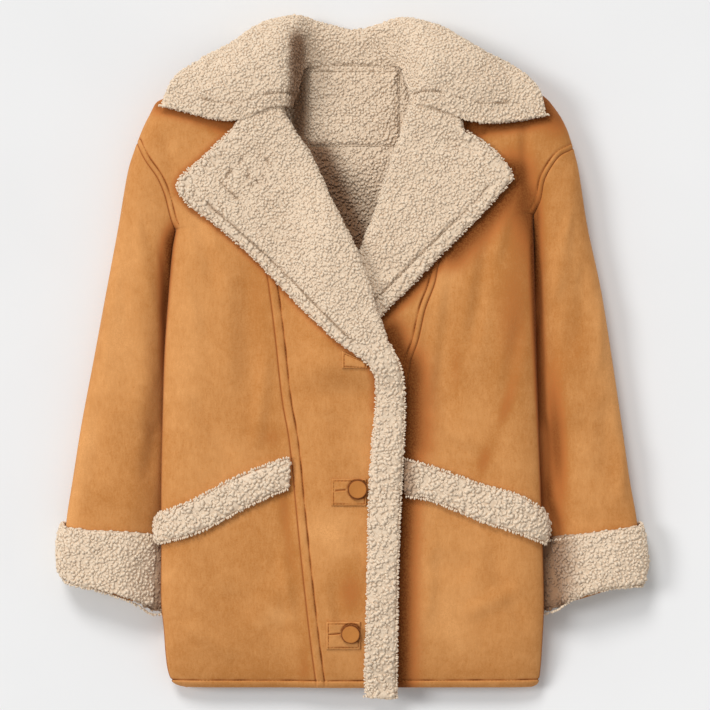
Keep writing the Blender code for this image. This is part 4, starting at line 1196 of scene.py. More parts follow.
class Nodes:
    """Node tree, filled through a few methods."""

    def __init__(self, tree):
        self.tree = tree

    def add(self, kind, settings=None, inputs=None, output=None):
        """Node with its settings and then its inputs, which are values or the outputs of others."""
        node = self.tree.nodes.new(kind)
        for name, value in (settings or {}).items():
            setattr(node, name, value)
        open_inputs = [socket for socket in node.inputs if socket.enabled]
        for name, value in (inputs or {}).items():
            if isinstance(name, int):
                socket = open_inputs[name]
            else:
                socket = next(one for one in open_inputs if one.name == name)
            if isinstance(value, Socket):
                self.tree.links.new(value.socket, socket)
            else:
                socket.default_value = value
        outputs = [socket for socket in node.outputs if socket.enabled]
        if not outputs:
            return node
        return Socket(self, node.outputs[output] if output else outputs[0])

    def noise(self, place, scale, detail=2.0, roughness=0.5, distortion=0.0):
        return self.add("ShaderNodeTexNoise", None, {"Vector": place, "Scale": scale, "Detail": detail,
                                                     "Roughness": roughness, "Distortion": distortion})

    def blend(self, share, first, second):
        """Colour between two others."""
        return self.add("ShaderNodeMix", {"data_type": "RGBA"}, {"Factor": share, "A": first, "B": second})

    def shown(self, label):
        """Number stored on the mesh, in a material."""
        return self.add("ShaderNodeAttribute", {"attribute_name": label}, output="Fac")

    def named(self, label, kind="FLOAT"):
        """Number or way stored on the mesh, in a geometry tree."""
        return self.add("GeometryNodeInputNamedAttribute", {"data_type": kind}, {"Name": label})

    def drawn(self, low, high, seed, kind="FLOAT"):
        """Random value for each piece."""
        return self.add("FunctionNodeRandomValue", {"data_type": kind},
                        {"Min": low, "Max": high, "Seed": seed})

    def children(self, collection):
        """Pieces of a collection, each one on its own."""
        return self.add("GeometryNodeCollectionInfo", None, {"Collection": collection,
                                                             "Separate Children": True,
                                                             "Reset Children": True})


def new_material(name):
    """Empty material: itself, its nodes and the place on the object that its finish reads."""
    material = bpy.data.materials.new(name)
    material.use_nodes = True
    material.node_tree.nodes.clear()
    nodes = Nodes(material.node_tree)
    return material, nodes, nodes.add("ShaderNodeTexCoord", output="Object")


def finished(nodes, colour, roughness, specular, relief=None, sheen=None):
    """End of a material. Its relief has strength, distance and height; its sheen weight, roughness, tint."""
    inputs = {"Base Color": colour, "Roughness": roughness, "Specular IOR Level": specular}
    if relief:
        inputs["Normal"] = nodes.add("ShaderNodeBump", None,
                                     dict(zip(("Strength", "Distance", "Height"), relief)))
    if sheen:
        inputs.update(zip(("Sheen Weight", "Sheen Roughness", "Sheen Tint"), sheen))
    shader = nodes.add("ShaderNodeBsdfPrincipled", None, inputs)
    nodes.add("ShaderNodeOutputMaterial", None, {"Surface": shader})


def times(colour, share):
    """Colour made lighter or darker."""
    return tuple(channel * share for channel in colour[:3]) + (1.0,)


def suede(name, colour, dark, warm, deep):
    """Brushed suede: broad nap marks, mottling, short strokes and a fine fibre, with painted light and
    painted shade read from the mesh.
    """
    material, nodes, place = new_material(name)
    broad = nodes.noise(place, 11.0, 3.0, 0.55, 0.4)
    mottle = nodes.noise(place, 62.0, 4.0, 0.62, 0.5)
    turned = nodes.add("ShaderNodeMapping", None, {"Vector": place, "Rotation": (0.0, 0.0, 0.35),
                                                   "Scale": (330.0, 95.0, 200.0)})
    brush = nodes.noise(turned, 1.0, 3.0, 0.6, 0.8)
    fibre = nodes.noise(place, 1700.0, 2.0, 0.7)
    grain = nodes.noise(place, 520.0, 3.0, 0.65)
    # The noises give the suede's own tone; the stored nap values add painted light and painted shade on top.
    nap = ((broad - 0.5) * 0.5 + (mottle - 0.5) * 0.34 + (brush - 0.5) * 0.34 + (grain - 0.5) * 0.9
           + 0.5 + nodes.shown("nap") * 0.42)
    light = nodes.blend(nap.between(0.16, 0.84), dark, colour)
    # Painted shade: the stored shade darkens the suede toward the half shade colour and then toward the deep
    # shade colour.
    groove = nodes.shown("groove")
    shaded = nodes.blend(groove.between(0.02, 0.5) * 0.85, light, warm)
    deep_shaded = nodes.blend(groove.between(0.32, 0.98) * 0.95, shaded, deep)
    specks = (fibre - 0.5) * 0.8 + (grain - 0.5) * 2.0 + 0.5
    shade = nodes.blend(specks.between(0.2, 0.8) * 0.4, deep_shaded, times(dark, 0.8))
    height = (grain - 0.5) * 0.6 + (fibre - 0.5) * 0.35 + (brush - 0.5) * 0.3 + (mottle - 0.5) * 0.5
    finished(nodes, shade, 0.86 + (mottle - 0.5) * 0.16, 0.07, (0.55, 0.0006, height),
             (0.12, 0.4, (1.0, 0.74, 0.5, 1.0)))
    return material


def pile(name, tip, root, deep):
    """Curly pile: small soft granules with painted shade in their cracks and at the curls' roots, deeper
    painted shade where the mesh stores it, each curl a shade of its own.
    """
    material, nodes, place = new_material(name)
    swirl = nodes.noise(place, 190.0, 2.0, 0.6).output("Color")
    aside = nodes.add("ShaderNodeVectorMath", {"operation": "MULTIPLY_ADD"},
                      {0: swirl, 1: (0.0042, 0.0042, 0.0042), 2: place})
    granule = nodes.add("ShaderNodeTexVoronoi", {"feature": "F1"},
                        {"Vector": aside, "Scale": 330.0, "Randomness": 0.9}, output="Distance")
    crack = granule.between(0.34, 0.78)
    broad = nodes.noise(place, 24.0, 2.0, 0.5)
    fuzz = nodes.noise(place, 1300.0, 2.0, 0.65)
    groove = nodes.shown("groove")
    # Painted shade: the cracks, the low points of the curls and the stored shade pull the colour toward the
    # root colour, and the stored shade then toward the deep one.
    lift = (nodes.shown("height") * 0.16 + (nodes.shown("shade") - 0.5) * 0.12 + (broad - 0.5) * 0.3
            + (fuzz - 0.5) * 0.25 - crack * 0.28 - groove * 0.6 + 0.84)
    even = nodes.blend(lift.between(0.0, 1.0), root, tip)
    colour = nodes.blend(groove.between(0.08, 0.95) * 0.88, even, deep)
    relief = (fuzz - 0.5) * 0.4 - crack * 0.9
    finished(nodes, colour, 0.9 + (fuzz - 0.5) * 0.1, 0.08, (0.38, 0.0005, relief),
             (0.25, 0.6, (1.0, 0.95, 0.86, 1.0)))
    return material


def thread(name, colour):
    """Twisted sewing thread."""
    material, nodes, place = new_material(name)
    twist = nodes.noise(place, 2600.0, 1.0, 0.5)
    tone = nodes.blend(twist.between(0.3, 0.7), times(colour, 0.72), colour)
    finished(nodes, tone, 0.8, 0.1, (0.4, 0.0002, twist))
    return material


def floor_finish(name, colour):
    """Pale paper with a barely uneven tone."""
    material, nodes, place = new_material(name)
    tone = nodes.noise(place, 6.0, 2.0, 0.5)
    finished(nodes, nodes.blend(tone.between(0.3, 0.7), times(colour, 0.985), colour), 0.9, 0.1)
    return material


def new_tree(name, inputs):
    """Geometry tree with named inputs; its nodes and the output of its Group Input."""
    tree = bpy.data.node_groups.new(name, "GeometryNodeTree")
    tree.interface.new_socket("Geometry", in_out="INPUT", socket_type="NodeSocketGeometry")
    for label, kind in inputs:
        tree.interface.new_socket(label, in_out="INPUT", socket_type="NodeSocket" + kind)
    tree.interface.new_socket("Geometry", in_out="OUTPUT", socket_type="NodeSocketGeometry")
    nodes = Nodes(tree)
    return nodes, nodes.add("NodeGroupInput")


def finished_tree(nodes, placed, material):
    """End of a tree of placed pieces: a shade for each one, real meshes, smooth, with a material."""
    own = nodes.add("GeometryNodeStoreNamedAttribute", {"data_type": "FLOAT", "domain": "INSTANCE"},
                    {"Geometry": placed, "Name": "shade", "Value": nodes.drawn(0.0, 1.0, 7)})
    real = nodes.add("GeometryNodeRealizeInstances", None, {"Geometry": own})
    even = nodes.add("GeometryNodeSetShadeSmooth", None, {"Geometry": real})
    made = nodes.add("GeometryNodeSetMaterial", None, {"Geometry": even, "Material": material})
    nodes.add("NodeGroupOutput", None, {"Geometry": made})
    return nodes.tree


def random_turn(nodes, rotation, tilt, seed):
    """Rotation with a random spin about its own normal and a random lean."""
    lean = nodes.drawn((-1.0, -1.0, -1.0), (1.0, 1.0, 1.0), seed, "FLOAT_VECTOR")
    scaled = nodes.add("ShaderNodeVectorMath", {"operation": "MULTIPLY"}, {0: lean, 1: tilt})
    turn = nodes.add("FunctionNodeEulerToRotation", None, {"Euler": scaled})
    return nodes.add("FunctionNodeRotateRotation", {"rotation_space": "LOCAL"},
                     {"Rotation": rotation, "Rotate By": turn})


def curl_tree():
    """Scatter of curls over a pile: thick where it is thick, none in its grooves."""
    nodes, given = new_tree("curl_scatter", (("Curls", "Collection"), ("Grooves", "Object"),
                                             ("Spacing", "Float"), ("Most", "Float"), ("Size", "Float"),
                                             ("Seed", "Int"), ("Material", "Material")))
    points = nodes.add("GeometryNodeDistributePointsOnFaces", {"distribute_method": "POISSON"},
                       {"Mesh": given.output("Geometry"), "Distance Min": given.output("Spacing"),
                        "Density Max": given.output("Most"), "Density Factor": nodes.named("pile"),
                        "Seed": given.output("Seed")})
    lines = nodes.add("GeometryNodeObjectInfo", None, {"Object": given.output("Grooves")}, output="Geometry")
    near = nodes.add("GeometryNodeProximity", {"target_element": "EDGES"}, {0: lines}, output="Distance")
    in_groove = nodes.add("FunctionNodeCompare", {"operation": "LESS_THAN"}, {"A": near, "B": 0.0007})
    left = nodes.add("GeometryNodeDeleteGeometry", {"domain": "POINT"},
                     {"Geometry": points.output("Points"), "Selection": in_groove})
    turn = random_turn(nodes, points.output("Rotation"), (0.22, 0.22, pi), 3)
    pressed = near.between(0.0, 0.0035) * 0.4 + 0.6
    wide = nodes.drawn(0.72, 1.38, 5) * pressed * given.output("Size") * (nodes.named("coarse") * 0.38 + 1.12)
    scale = nodes.add("ShaderNodeCombineXYZ", None, {"X": wide, "Y": wide, "Z": wide * 0.66})
    placed = nodes.add("GeometryNodeInstanceOnPoints", None,
                       {"Points": left, "Instance": nodes.children(given.output("Curls")),
                        "Pick Instance": True, "Rotation": turn, "Scale": scale})
    return finished_tree(nodes, placed, given.output("Material"))


def line_tree(name, picked):
    """Pieces along lines that carry the way up from the cloth: picked from a collection, or stitches."""
    nodes, given = new_tree(name, (("Pieces", "Collection"), ("Pitch", "Float"), ("Size", "Vector"),
                                   ("Lean", "Vector"), ("Seed", "Int"), ("Material", "Material")))
    curve = nodes.add("GeometryNodeMeshToCurve", None, {"Mesh": given.output("Geometry")})
    even = nodes.add("GeometryNodeResampleCurve", {"mode": "LENGTH"},
                     {"Curve": curve, "Length": given.output("Pitch")})
    turn = nodes.add("FunctionNodeAxesToRotation", {"primary_axis": "Z", "secondary_axis": "X"},
                     {"Primary Axis": nodes.named("up", "FLOAT_VECTOR"),
                      "Secondary Axis": nodes.add("GeometryNodeInputTangent")})
    leaned = random_turn(nodes, turn, given.output("Lean"), given.output("Seed"))
    if picked:
        thing = nodes.children(given.output("Pieces"))
    else:
        thing = nodes.add("GeometryNodeMeshUVSphere", None, {"Segments": 6, "Rings": 4, "Radius": 0.5})
    size = nodes.add("ShaderNodeVectorMath", {"operation": "SCALE"},
                     {0: given.output("Size"), "Scale": nodes.drawn(0.86, 1.14, 9)})
    placed = nodes.add("GeometryNodeInstanceOnPoints", None,
                       {"Points": even, "Instance": thing, "Pick Instance": picked, "Rotation": leaned,
                        "Scale": size})
    return finished_tree(nodes, placed, given.output("Material"))


def grown(source, name, tree, values, remove=True):
    """Plain mesh object of what a tree grows from a source object."""
    modifier = source.modifiers.new(name, "NODES")
    modifier.node_group = tree
    for item in tree.interface.items_tree:
        if item.item_type == "SOCKET" and item.in_out == "INPUT" and item.name in values:
            modifier[item.identifier] = values[item.name]
    source.update_tag()
    graph = bpy.context.evaluated_depsgraph_get()
    mesh = bpy.data.meshes.new_from_object(source.evaluated_get(graph), preserve_all_data_layers=True,
                                           depsgraph=graph)
    source.modifiers.remove(modifier)
    if remove:
        bpy.data.objects.remove(source)
    if not mesh.polygons:
        raise RuntimeError(name + " came out empty")
    mesh.name = name
    return linked(name, mesh)


def line_object(name, lines):
    """Object of open polylines in millimetres, each point with its way up."""
    points, ups, edges = [], [], []
    for line, up in lines:
        first = len(points)
        points += (np.asarray(line) * MM).tolist()
        ups.append(np.broadcast_to(up, np.asarray(line).shape))
        edges += [(first + k, first + k + 1) for k in range(len(line) - 1)]
    mesh = bpy.data.meshes.new(name)
    mesh.from_pydata(points, edges, [])
    store(mesh, "up", np.concatenate(ups), "FLOAT_VECTOR", "vector")
    return linked(name, mesh)


# Curls and tufts that the pile is made of.


def worm(name, path, radii, collection):
    """Closed tube along a path that starts and ends in a point, with its height stored on it."""
    path = np.array(path, float)
    runs = unit(np.gradient(path, axis=0))
    aside = unit(np.cross(runs, np.array([0.13, 0.31, 0.94])))
    upward = np.cross(aside, runs)
    sides = CURL_SIDES
    turns = np.arange(sides) / sides * 2 * pi
    rings = (path[1:-1, None] + np.array(radii)[:, None, None]
             * (np.cos(turns)[None, :, None] * aside[1:-1, None]
                + np.sin(turns)[None, :, None] * upward[1:-1, None]))
    count = len(path) - 2
    quads = grid_quads(count, sides, False, True).tolist()
    first, last = count * sides, count * sides + 1
    caps = [(first, (k + 1) % sides, k) for k in range(sides)]
    base = (count - 1) * sides
    caps += [(last, base + k, base + (k + 1) % sides) for k in range(sides)]
    points = np.concatenate([rings.reshape(-1, 3), path[:1], path[-1:]])
    mesh = bpy.data.meshes.new(name)
    mesh.from_pydata((points * MM).tolist(), [], quads + caps)
    store(mesh, "height", clamp((points[:, 2] + 0.2) / 2.0))
    closed_object(name, mesh, False, collection)


def curl_collection(length, thickness):
    """Curls of a few shapes, in millimetres."""
    collection = bpy.data.collections.new("curls")
    for name, (path, radii) in CURLS.items():
        worm(name, [(share * length / 2, aside, up) for share, aside, up in path],
             [share * thickness / 2 for share in radii], collection)
    return collection


def tuft_collection(length):
    """Pointed locks that stand out of an edge, in millimetres."""
    collection = bpy.data.collections.new("tufts")
    for name, bend in TUFTS.items():
        worm(name, [(0.0, 0.0, -0.8), (bend * 0.2, 0.1, 0.6), (bend * 0.7, 0.0, length * 0.55),
                    (bend * 1.1, -0.1, length * 0.84), (bend * 1.3, -0.1, length)], TUFT_RADII, collection)
    return collection


def cleared(collection):
    """Remove a collection with its pieces."""
    for piece in list(collection.objects):
        bpy.data.objects.remove(piece)
    bpy.data.collections.remove(collection)


# Bases of the pile pieces, set in by the depth of their curls, and the lines stitched on them.


def outward_normals(points, wrap_rows):
    """Normals of closed rings, out of them."""
    normals = grid_normals(points, wrap_rows, True)
    return normals * np.sign(np.sum(normals * (points - points.mean(axis=1, keepdims=True))))


def near_line(points, lines):
    """Distance of each point to the nearest one of the lines' points."""
    if not lines:
        return np.full(points.shape[:-1], 1000.0)
    marks = np.concatenate(lines)
    flat = points.reshape(-1, 3)
    nearest = np.full(len(flat), 1e9)
    for start in range(0, len(marks), 64):
        gap = np.linalg.norm(flat[:, None] - marks[None, start:start + 64], axis=-1).min(axis=1)
        nearest = np.minimum(nearest, gap)
    return nearest.reshape(points.shape[:-1])


def pile_base(name, rings, lines, depth, hidden, wrap_rows=False, lowered=0.0, shaded=0.0, coarse=0.0):
    """Base of a pile piece: its rings set in by the pile's depth, uneven, and pressed in at its stitching."""
    press = bump(near_line(rings, [line for line, _ in lines]), PRESS_WIDTH)
    out = outward_normals(rings, wrap_rows)
    amount = 0.7 * wander(rings, 9.0) + 0.8 * wander(rings, 26.0, 2.0) - depth - PRESS * press - lowered
    points = rings + out * amount[..., None]
    points[..., 2] = np.maximum(points[..., 2], depth)
    coarse = coarse + 0.0 * press
    thick = mix(hidden, 1.0, smooth((out[..., 2] + 0.55) / 0.5)) * (1.0 - 0.5 * coarse)
    # Painted shade where the stitching presses the pile in and where a piece is shaded.
    values = {"pile": thick, "groove": np.maximum(0.5 * press, shaded), "coarse": coarse}
    if not wrap_rows:
        points = capped(points, PILE_NOSE)
        values = {label: capped_values(numbers) for label, numbers in values.items()}
    rows, columns = points.shape[:2]
    return made_mesh(name, points, grid_quads(rows, columns, wrap_rows, True), values)


def collar_rings():
    """Rings across the collar, from the wearer's right to the left: its upper side, then its underside."""
    rows = int(COLLAR_LENGTH / COLLAR_ROW)
    there = (1 - np.cos(np.arange(COLLAR_SHOWN) / COLLAR_SHOWN * pi)) / 2
    back = (1 + np.cos(np.arange(COLLAR_HIDDEN) / COLLAR_HIDDEN * pi)) / 2
    v = (np.arange(rows + 1) / rows)[:, None]
    shares, v = np.broadcast_arrays(np.concatenate([there, back])[None, :], v)
    width = np.linalg.norm(collar_centre(np.ones(v.shape), v) - collar_centre(np.zeros(v.shape), v), axis=-1)
    u = mix(-COLLAR_TUCK / width, 1.0, shares)
    centre, out = collar_surface(u, v)
    thick = COLLAR_HALF_WALL * quarter(np.minimum(shares, 1 - shares) * width / COLLAR_HALF_WALL)
    side = np.where(np.arange(COLLAR_SHOWN + COLLAR_HIDDEN) < COLLAR_SHOWN, -1.0, 1.0)[None, :]
    return centre + out * (thick * side)[..., None]


def collar_line(stops, lift):
    """Line on the collar's upper side through stops of share across and share along."""
    count = 90
    table = [(k,) + tuple(stop) for k, stop in enumerate(stops)]
    u, v = along(table, np.arange(count + 1) / count * (len(stops) - 1))
    centre, out = collar_surface(u, v)
    return centre - out * lift, -out


def collar_lines(lift):
    """Stitched lines of both halves of the collar."""
    return [collar_line(stops, lift)
            for stops in (COLLAR_STITCHING, [(u, 1 - v) for u, v in COLLAR_STITCHING])]


def facing_line(side, stops, lift):
    """Line on a facing's upper side: share along and distance in from its outer edge."""
    share, inset = strokes(stops, 40)
    width = facing_across(side, share)[-1]
    return facing_place(side, share, np.maximum(width - inset, 6.0), lift + 0 * share), UP


def lapel_mark(corners, lift):
    """Line over the right lapel through x, y corners."""
    x, y = strokes(corners, 24)
    return vec(x, y, front_height("right", x, y) + lift), UP


def facing_lines(side, lift):
    """Stitched lines of a facing, with the buttonhole on the right one."""
    lines = [facing_line(side, LAPEL_STITCHING[side], lift)]
    if side == "right":
        lines += [lapel_mark(LAPEL_BUTTONHOLE, lift), lapel_mark(LAPEL_SLIT, lift)]
    return lines


def flap_turn(side, station):
    """Half turns at which a cuff's front flap ends."""
    return mix(*CUFF_FLAP[side], cuff_share(station))


def cuff_lines(side, lift):
    """Edge of the front flap along a cuff."""
    station = np.linspace(*CUFF_STATIONS, 60)
    turn = flap_turn(side, station) * pi
    line = cuff_place(side, station, turn, lift + 0 * station)
    heart = cuff_place(side, station, turn, 0.0 * station)
    return [(line, unit(line - heart))]


def neck_lines(lift):
    """Stitched lines inside the back neck: around the patch and along the stand."""
    (left, low), (right, high) = NECK_PATCH[0], NECK_PATCH[2]
    loop = ((left - 2, high + 1), (left - 2, low - 2), (right + 2, low - 2), (right + 2, high + 1),
            (left - 2, high + 1))
    lines = []
    for corners in (loop, NECK_STITCHING):
        x, y = strokes(corners, 30)
        lines.append((vec(x, y, back_inside(x, y) + lift), UP))
    return lines


def mid_line(name, lines):
    """Edge mesh of the stitched lines; a far edge where there are none."""
    return line_object(name, lines or [(np.array([[9e4, 0, 0], [9e4, 5, 0]], float), UP)])


def panel_lines():
    """Stitched lines of each panel's strips and hem: points and the ways up from them."""
    lines = {}
    for name, point, strips, _ in panels():
        rows = []
        if name != "back":
            share = np.linspace(0.018, 0.992, 330)
            if name.startswith("side"):
                share = np.linspace(PIT_SHARE + 0.035, 0.976, 110)
            width = panel_width(point, share)
            ways = ways_beside(point, strips, share[:, None], width[:, None], np.array(strips[:1]))
            rows.append(panel_skin(point, strips, ways[:, 0] / width, share)[:2])
        u = np.linspace(0.004, 0.996, 160)
        rows.append(panel_skin(point, strips, u, np.full(160, HEM_STITCH / PANEL_LENGTH))[:2])
        lines[name] = [(place + wall * STITCH_LIFT, wall) for place, wall in rows]
    return lines


# Sizes and colours that a user would change.


def a_length(label, says, value, least, most):
    """Length that a user would change, in metres."""
    return bpy.props.FloatProperty(name=label, description=says, default=value, min=least, max=most,
                                   unit="LENGTH")


def a_colour(label, says, *value):
    """Colour that a user would change."""
    return bpy.props.FloatVectorProperty(name=label, description=says, subtype="COLOR", size=4, min=0,
                                         max=1, default=value + (1.0,))


class CoatSizes(bpy.types.PropertyGroup):
    """Sizes of the cloth, its curls and its stitches"""

    suede_thickness: a_length("Suede thickness", "Thickness of the suede itself", 0.0013, 0.0005, 0.003)
    pile_depth: a_length("Pile depth", "How deep the curls stand over their base", 0.0015, 0.001, 0.006)
    curl_length: a_length("Curl length", "Length of one curl", 0.0040, 0.002, 0.012)
    curl_thickness: a_length("Curl thickness", "Thickness of one curl", 0.0026, 0.0008, 0.005)
    curl_spacing: a_length("Curl spacing", "Least distance between two curls", 0.0027, 0.0015, 0.01)
    tuft_length: a_length("Tuft length", "Length of the locks along an edge", 0.0034, 0.002, 0.015)
    stitch_length: a_length("Stitch length", "Length of one stitch that shows", 0.0030, 0.001, 0.008)
    stitch_pitch: a_length("Stitch pitch", "Distance from one stitch to the next", 0.0039, 0.0015, 0.01)
    thread_thickness: a_length("Thread thickness", "Thickness of the sewing thread", 0.00065, 0.0002, 0.002)


class CoatColours(bpy.types.PropertyGroup):
    """Colours of the cloth, the thread and the floor"""

    suede: a_colour("Suede", "Suede where its nap is light", 0.80, 0.388, 0.14)
    suede_dark: a_colour("Suede against the nap", "Suede where its nap is dark", 0.50, 0.195, 0.048)
    # Painted shade: these two colours stand in for shade in seams, dents, folds and beside what lies over the
    # suede.
    suede_warm: a_colour("Suede in shade", "Suede where it is half shaded", 0.50, 0.155, 0.040)
    suede_deep: a_colour("Suede in folds and seams", "Suede where it is pressed or shaded",
                         0.125, 0.027, 0.004)
    pile: a_colour("Pile", "Tips of the curls", 0.82, 0.665, 0.50)
    # Painted shade: the root colour stands in for shade between the curls, and the deep colour for shade in
    # seams, folds and under things.
    pile_root: a_colour("Pile root", "Curls where they leave their base", 0.57, 0.40, 0.262)
    pile_deep: a_colour("Pile in folds and seams", "Pile where it is pressed or shaded", 0.235, 0.112, 0.05)
    thread: a_colour("Thread", "Sewing thread", 0.40, 0.15, 0.036)
    pile_thread: a_colour("Pile thread", "Thread sunk into the pile", 0.50, 0.375, 0.255)
    floor: a_colour("Floor", "Paper that the coat lies on", 0.845, 0.845, 0.845)


# Finishes: the material's name, its maker and its colours, each with how light it is made.
FINISH_COLOURS = {
    "suede": ("suede_nap", suede,
              (("suede", 1.0), ("suede_dark", 1.0), ("suede_warm", 1.0), ("suede_deep", 1.0))),
    "covered_button": ("button_suede", suede,
                       (("suede_dark", 1.25), ("suede_dark", 0.9), ("suede_warm", 0.9), ("suede_deep", 0.8))),
    "sherpa_pile": ("sherpa_curls", pile, (("pile", 1.0), ("pile_root", 1.0), ("pile_deep", 1.0))),
    "lining_pile": ("lining_curls", pile, (("pile", 1.0), ("pile_root", 1.0), ("pile_deep", 1.0))),
    "thread": ("sewing_thread", thread, (("thread", 1.0),)),
    "pile_thread": ("pile_thread", thread, (("pile_thread", 1.0),)),
    "floor": ("floor_paper", floor_finish, (("floor", 1.0),)),
}
FINISHES = {}


def finish_named(name):
    """Material of a finish, made the first time that it is asked for."""
    if name not in FINISHES:
        label, maker, tones = FINISH_COLOURS[name]
        colours = bpy.context.scene.coat_colours
        FINISHES[name] = maker(label, *(times(getattr(colours, tone), share) for tone, share in tones))
    return FINISHES[name]


def dressed(piece, finish, slot, *nodes):
    """Piece with its finish, riding on the coat, in place of the solids that it stands for."""
    piece.data.materials.clear()
    piece.data.materials.append(finish_named(finish))
    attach(piece, BODY)
    if nodes:
        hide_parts(*nodes)
    return piece


def cloth_shell(name, outer, wall, thickness, values, wrap_columns=False):
    """Thin closed shell under a grid of outer points, with the values that its suede reads."""
    outer = vec(outer[..., 0], outer[..., 1], np.maximum(outer[..., 2], FLOOR_GAP))
    normals = grid_normals(outer, False, wrap_columns)
    middle = len(outer) // 2
    outward = np.sign(np.sum(normals[middle] * wall[middle]))
    inner = outer - normals * outward * thickness
    return shell(name, outer, inner, {label: (one, one) for label, one in values.items()}, wrap_columns)


def edge_line(side, column, low, high):
    """Line along a facing, at its roll or at its outer edge."""
    row = along(FACING[side], np.linspace(low, high, 220))
    x, y = row[2 * column], row[2 * column + 1]
    return vec(x, y, front_height(side, x, y))


def painted_shade_on_fronts(side, place):
    """How much painted shade the suede of a front gets beside what lies over it and in the valley by the
    sleeve, from 0 to 1.
    """
    end = 0.0 if side == "right" else 1.0
    rim = collar_centre(1.0, np.abs(end - np.linspace(0.0, 0.3, 120)))
    front = collar_centre(np.linspace(0.5, 1.0, 60), end)
    over = [(line, strength, reach) for line, (strength, reach) in zip((rim, front), COLLAR_SHADE[side])]
    over += [(edge_line(*where), strength, reach) for *where, strength, reach in EDGE_SHADE[side]]
    strength, reach = along(VALLEY[side], place[..., 1])[:2]
    gap = side_sign(side) * (along(SIDE[side], place[..., 1])[0] - place[..., 0])
    shade = strength * bump(gap, reach) * (place[..., 2] > VALLEY_FLOOR)
    for line, strength, reach in over:
        shade = np.maximum(shade, strength * bump(near_line(place * LEVEL, [line * LEVEL]), reach))
    return shade


def painted_nap_light_and_shade(place):
    """Painted light and painted shade on the nap at a place on the front: lighter above 0, darker below."""
    total = 0.0
    for x, y, half_width, half_length, lean, amount in PAINTED_NAP_LIGHT_AND_SHADE:
        ahead = (place[..., 1] - y) / half_length
        aside = (place[..., 0] - x - lean * (place[..., 1] - y)) / half_width
        total = total + amount * np.exp(-(aside ** 2 + ahead ** 2) * 0.8)
    return total


def painted_suede_values(place, shade):
    """Values that the suede reads: its painted shade, and the painted light and shade of its nap."""
    marks = painted_nap_light_and_shade(place)
    return {"groove": np.maximum(shade, 0.75 * clamp(-marks - 0.25)), "nap": marks}


def groove_shade(relief):
    """How much painted shade a point gets for lying deep in a seam line or dent, from 0 to 1."""
    return clamp(-(relief + 0.1) / 1.1)


class COAT_OT_suede_panels(bpy.types.Operator):
    """Make the suede of the back and the four front panels"""

    bl_idname = "coat.suede_panels"
    bl_label = "Suede panels"

    def execute(self, context):
        thickness = context.scene.coat_sizes.suede_thickness / MM
        for name, point, strips, step in panels():
            place, wall, relief = panel_grid(point, strips, step)
            # Painted shade in the seam lines, dents and hem, and on the fronts beside what lies over them,
            # with painted light and shade on their nap.
            values = {"groove": groove_shade(relief)}
            if name != "back":
                side = name.split("_")[-1]
                values = painted_suede_values(place, np.maximum(values["groove"], painted_shade_on_fronts(side, place)))
            piece = cloth_shell("suede_" + name, place, wall, thickness, values)
            dressed(piece, "suede", "suede", name)
        return {"FINISHED"}


class COAT_OT_sleeves(bpy.types.Operator):
    """Make the suede of the sleeves"""

    bl_idname = "coat.sleeves"
    bl_label = "Sleeves"

    def execute(self, context):
        thickness = context.scene.coat_sizes.suede_thickness / MM
        for side in SIDES:
            place, out, relief = sleeve_grid(side)
            # Painted shade on the sleeve's seam lines and beside the body, in the valley between them.
            strength, reach = along(VALLEY[side], place[..., 1])[2:]
            gap = side_sign(side) * (place[..., 0] - along(SIDE[side], place[..., 1])[0])
            values = painted_suede_values(place, np.maximum(groove_shade(relief * 0.8), strength * bump(gap, reach)))
            on_top = ramp(place[..., 2], *SLEEVE_FADE)
            values = {label: one * on_top for label, one in values.items()}
            piece = cloth_shell("suede_sleeve_" + side, place, out, thickness, values, True)
            dressed(piece, "suede", "suede", "sleeve_" + side)
        return {"FINISHED"}


class COAT_OT_lining(bpy.types.Operator):
    """Make the pile side of the cloth inside the body and the sleeves"""

    bl_idname = "coat.lining"
    bl_label = "Pile lining"

    def execute(self, context):
        depth = context.scene.coat_sizes.suede_thickness / MM + LINING_ROOM
        low, high = LINING_ENDS
        for name, point, _, _ in panels():
            rows = np.linspace(LINING_HEM / PANEL_LENGTH, high, int(PANEL_LENGTH / LINING_STEP))[:, None]
            count = LINING_COLUMNS["back" if name == "back" else "front"]
            u, share = np.broadcast_arrays(np.linspace(low, high, count)[None, :], rows)
            place, wall = point(u, share)
            inside = place - wall * BODY_WALL
            shown = pressed = np.zeros(u.shape)
            if name == "back":
                shown = ramp(inside[..., 1], *LINING_SHOWN_Y) * ramp(np.abs(inside[..., 0]), *LINING_SHOWN_X)
                # Painted shade along the neck's stitching and inside the neck, where the collar and the right
                # front's roll overhang it.
                pressed = bump(near_line(inside, [line for line, _ in neck_lines(0.0)]), 1.4)
                inside = inside - 0.3 * UP * pressed[..., None]
                pressed = np.maximum(0.2 * pressed, neck_shade(inside))
            piece = shell("lining_" + name, place - wall * depth, inside,
                          {"pile": (shown * 0, shown), "groove": (pressed, pressed)})
            dressed(piece, "lining_pile", "lining_pile")
        stations, turns = SLEEVE_LINING_GRID
        for side in SIDES:
            station = np.linspace(*SLEEVE_LINING_ENDS, stations)[:, None]
            station, angle = np.broadcast_arrays(station, (np.arange(turns) / turns * 2 * pi)[None, :])
            outer, inner = (creased_ring(side, station, angle, -way)[0] for way in (depth, BODY_WALL))
            none = np.zeros(station.shape)
            piece = shell("lining_sleeve_" + side, outer, inner, {"pile": (none, none)}, True)
            dressed(piece, "lining_pile", "lining_pile")
        return {"FINISHED"}


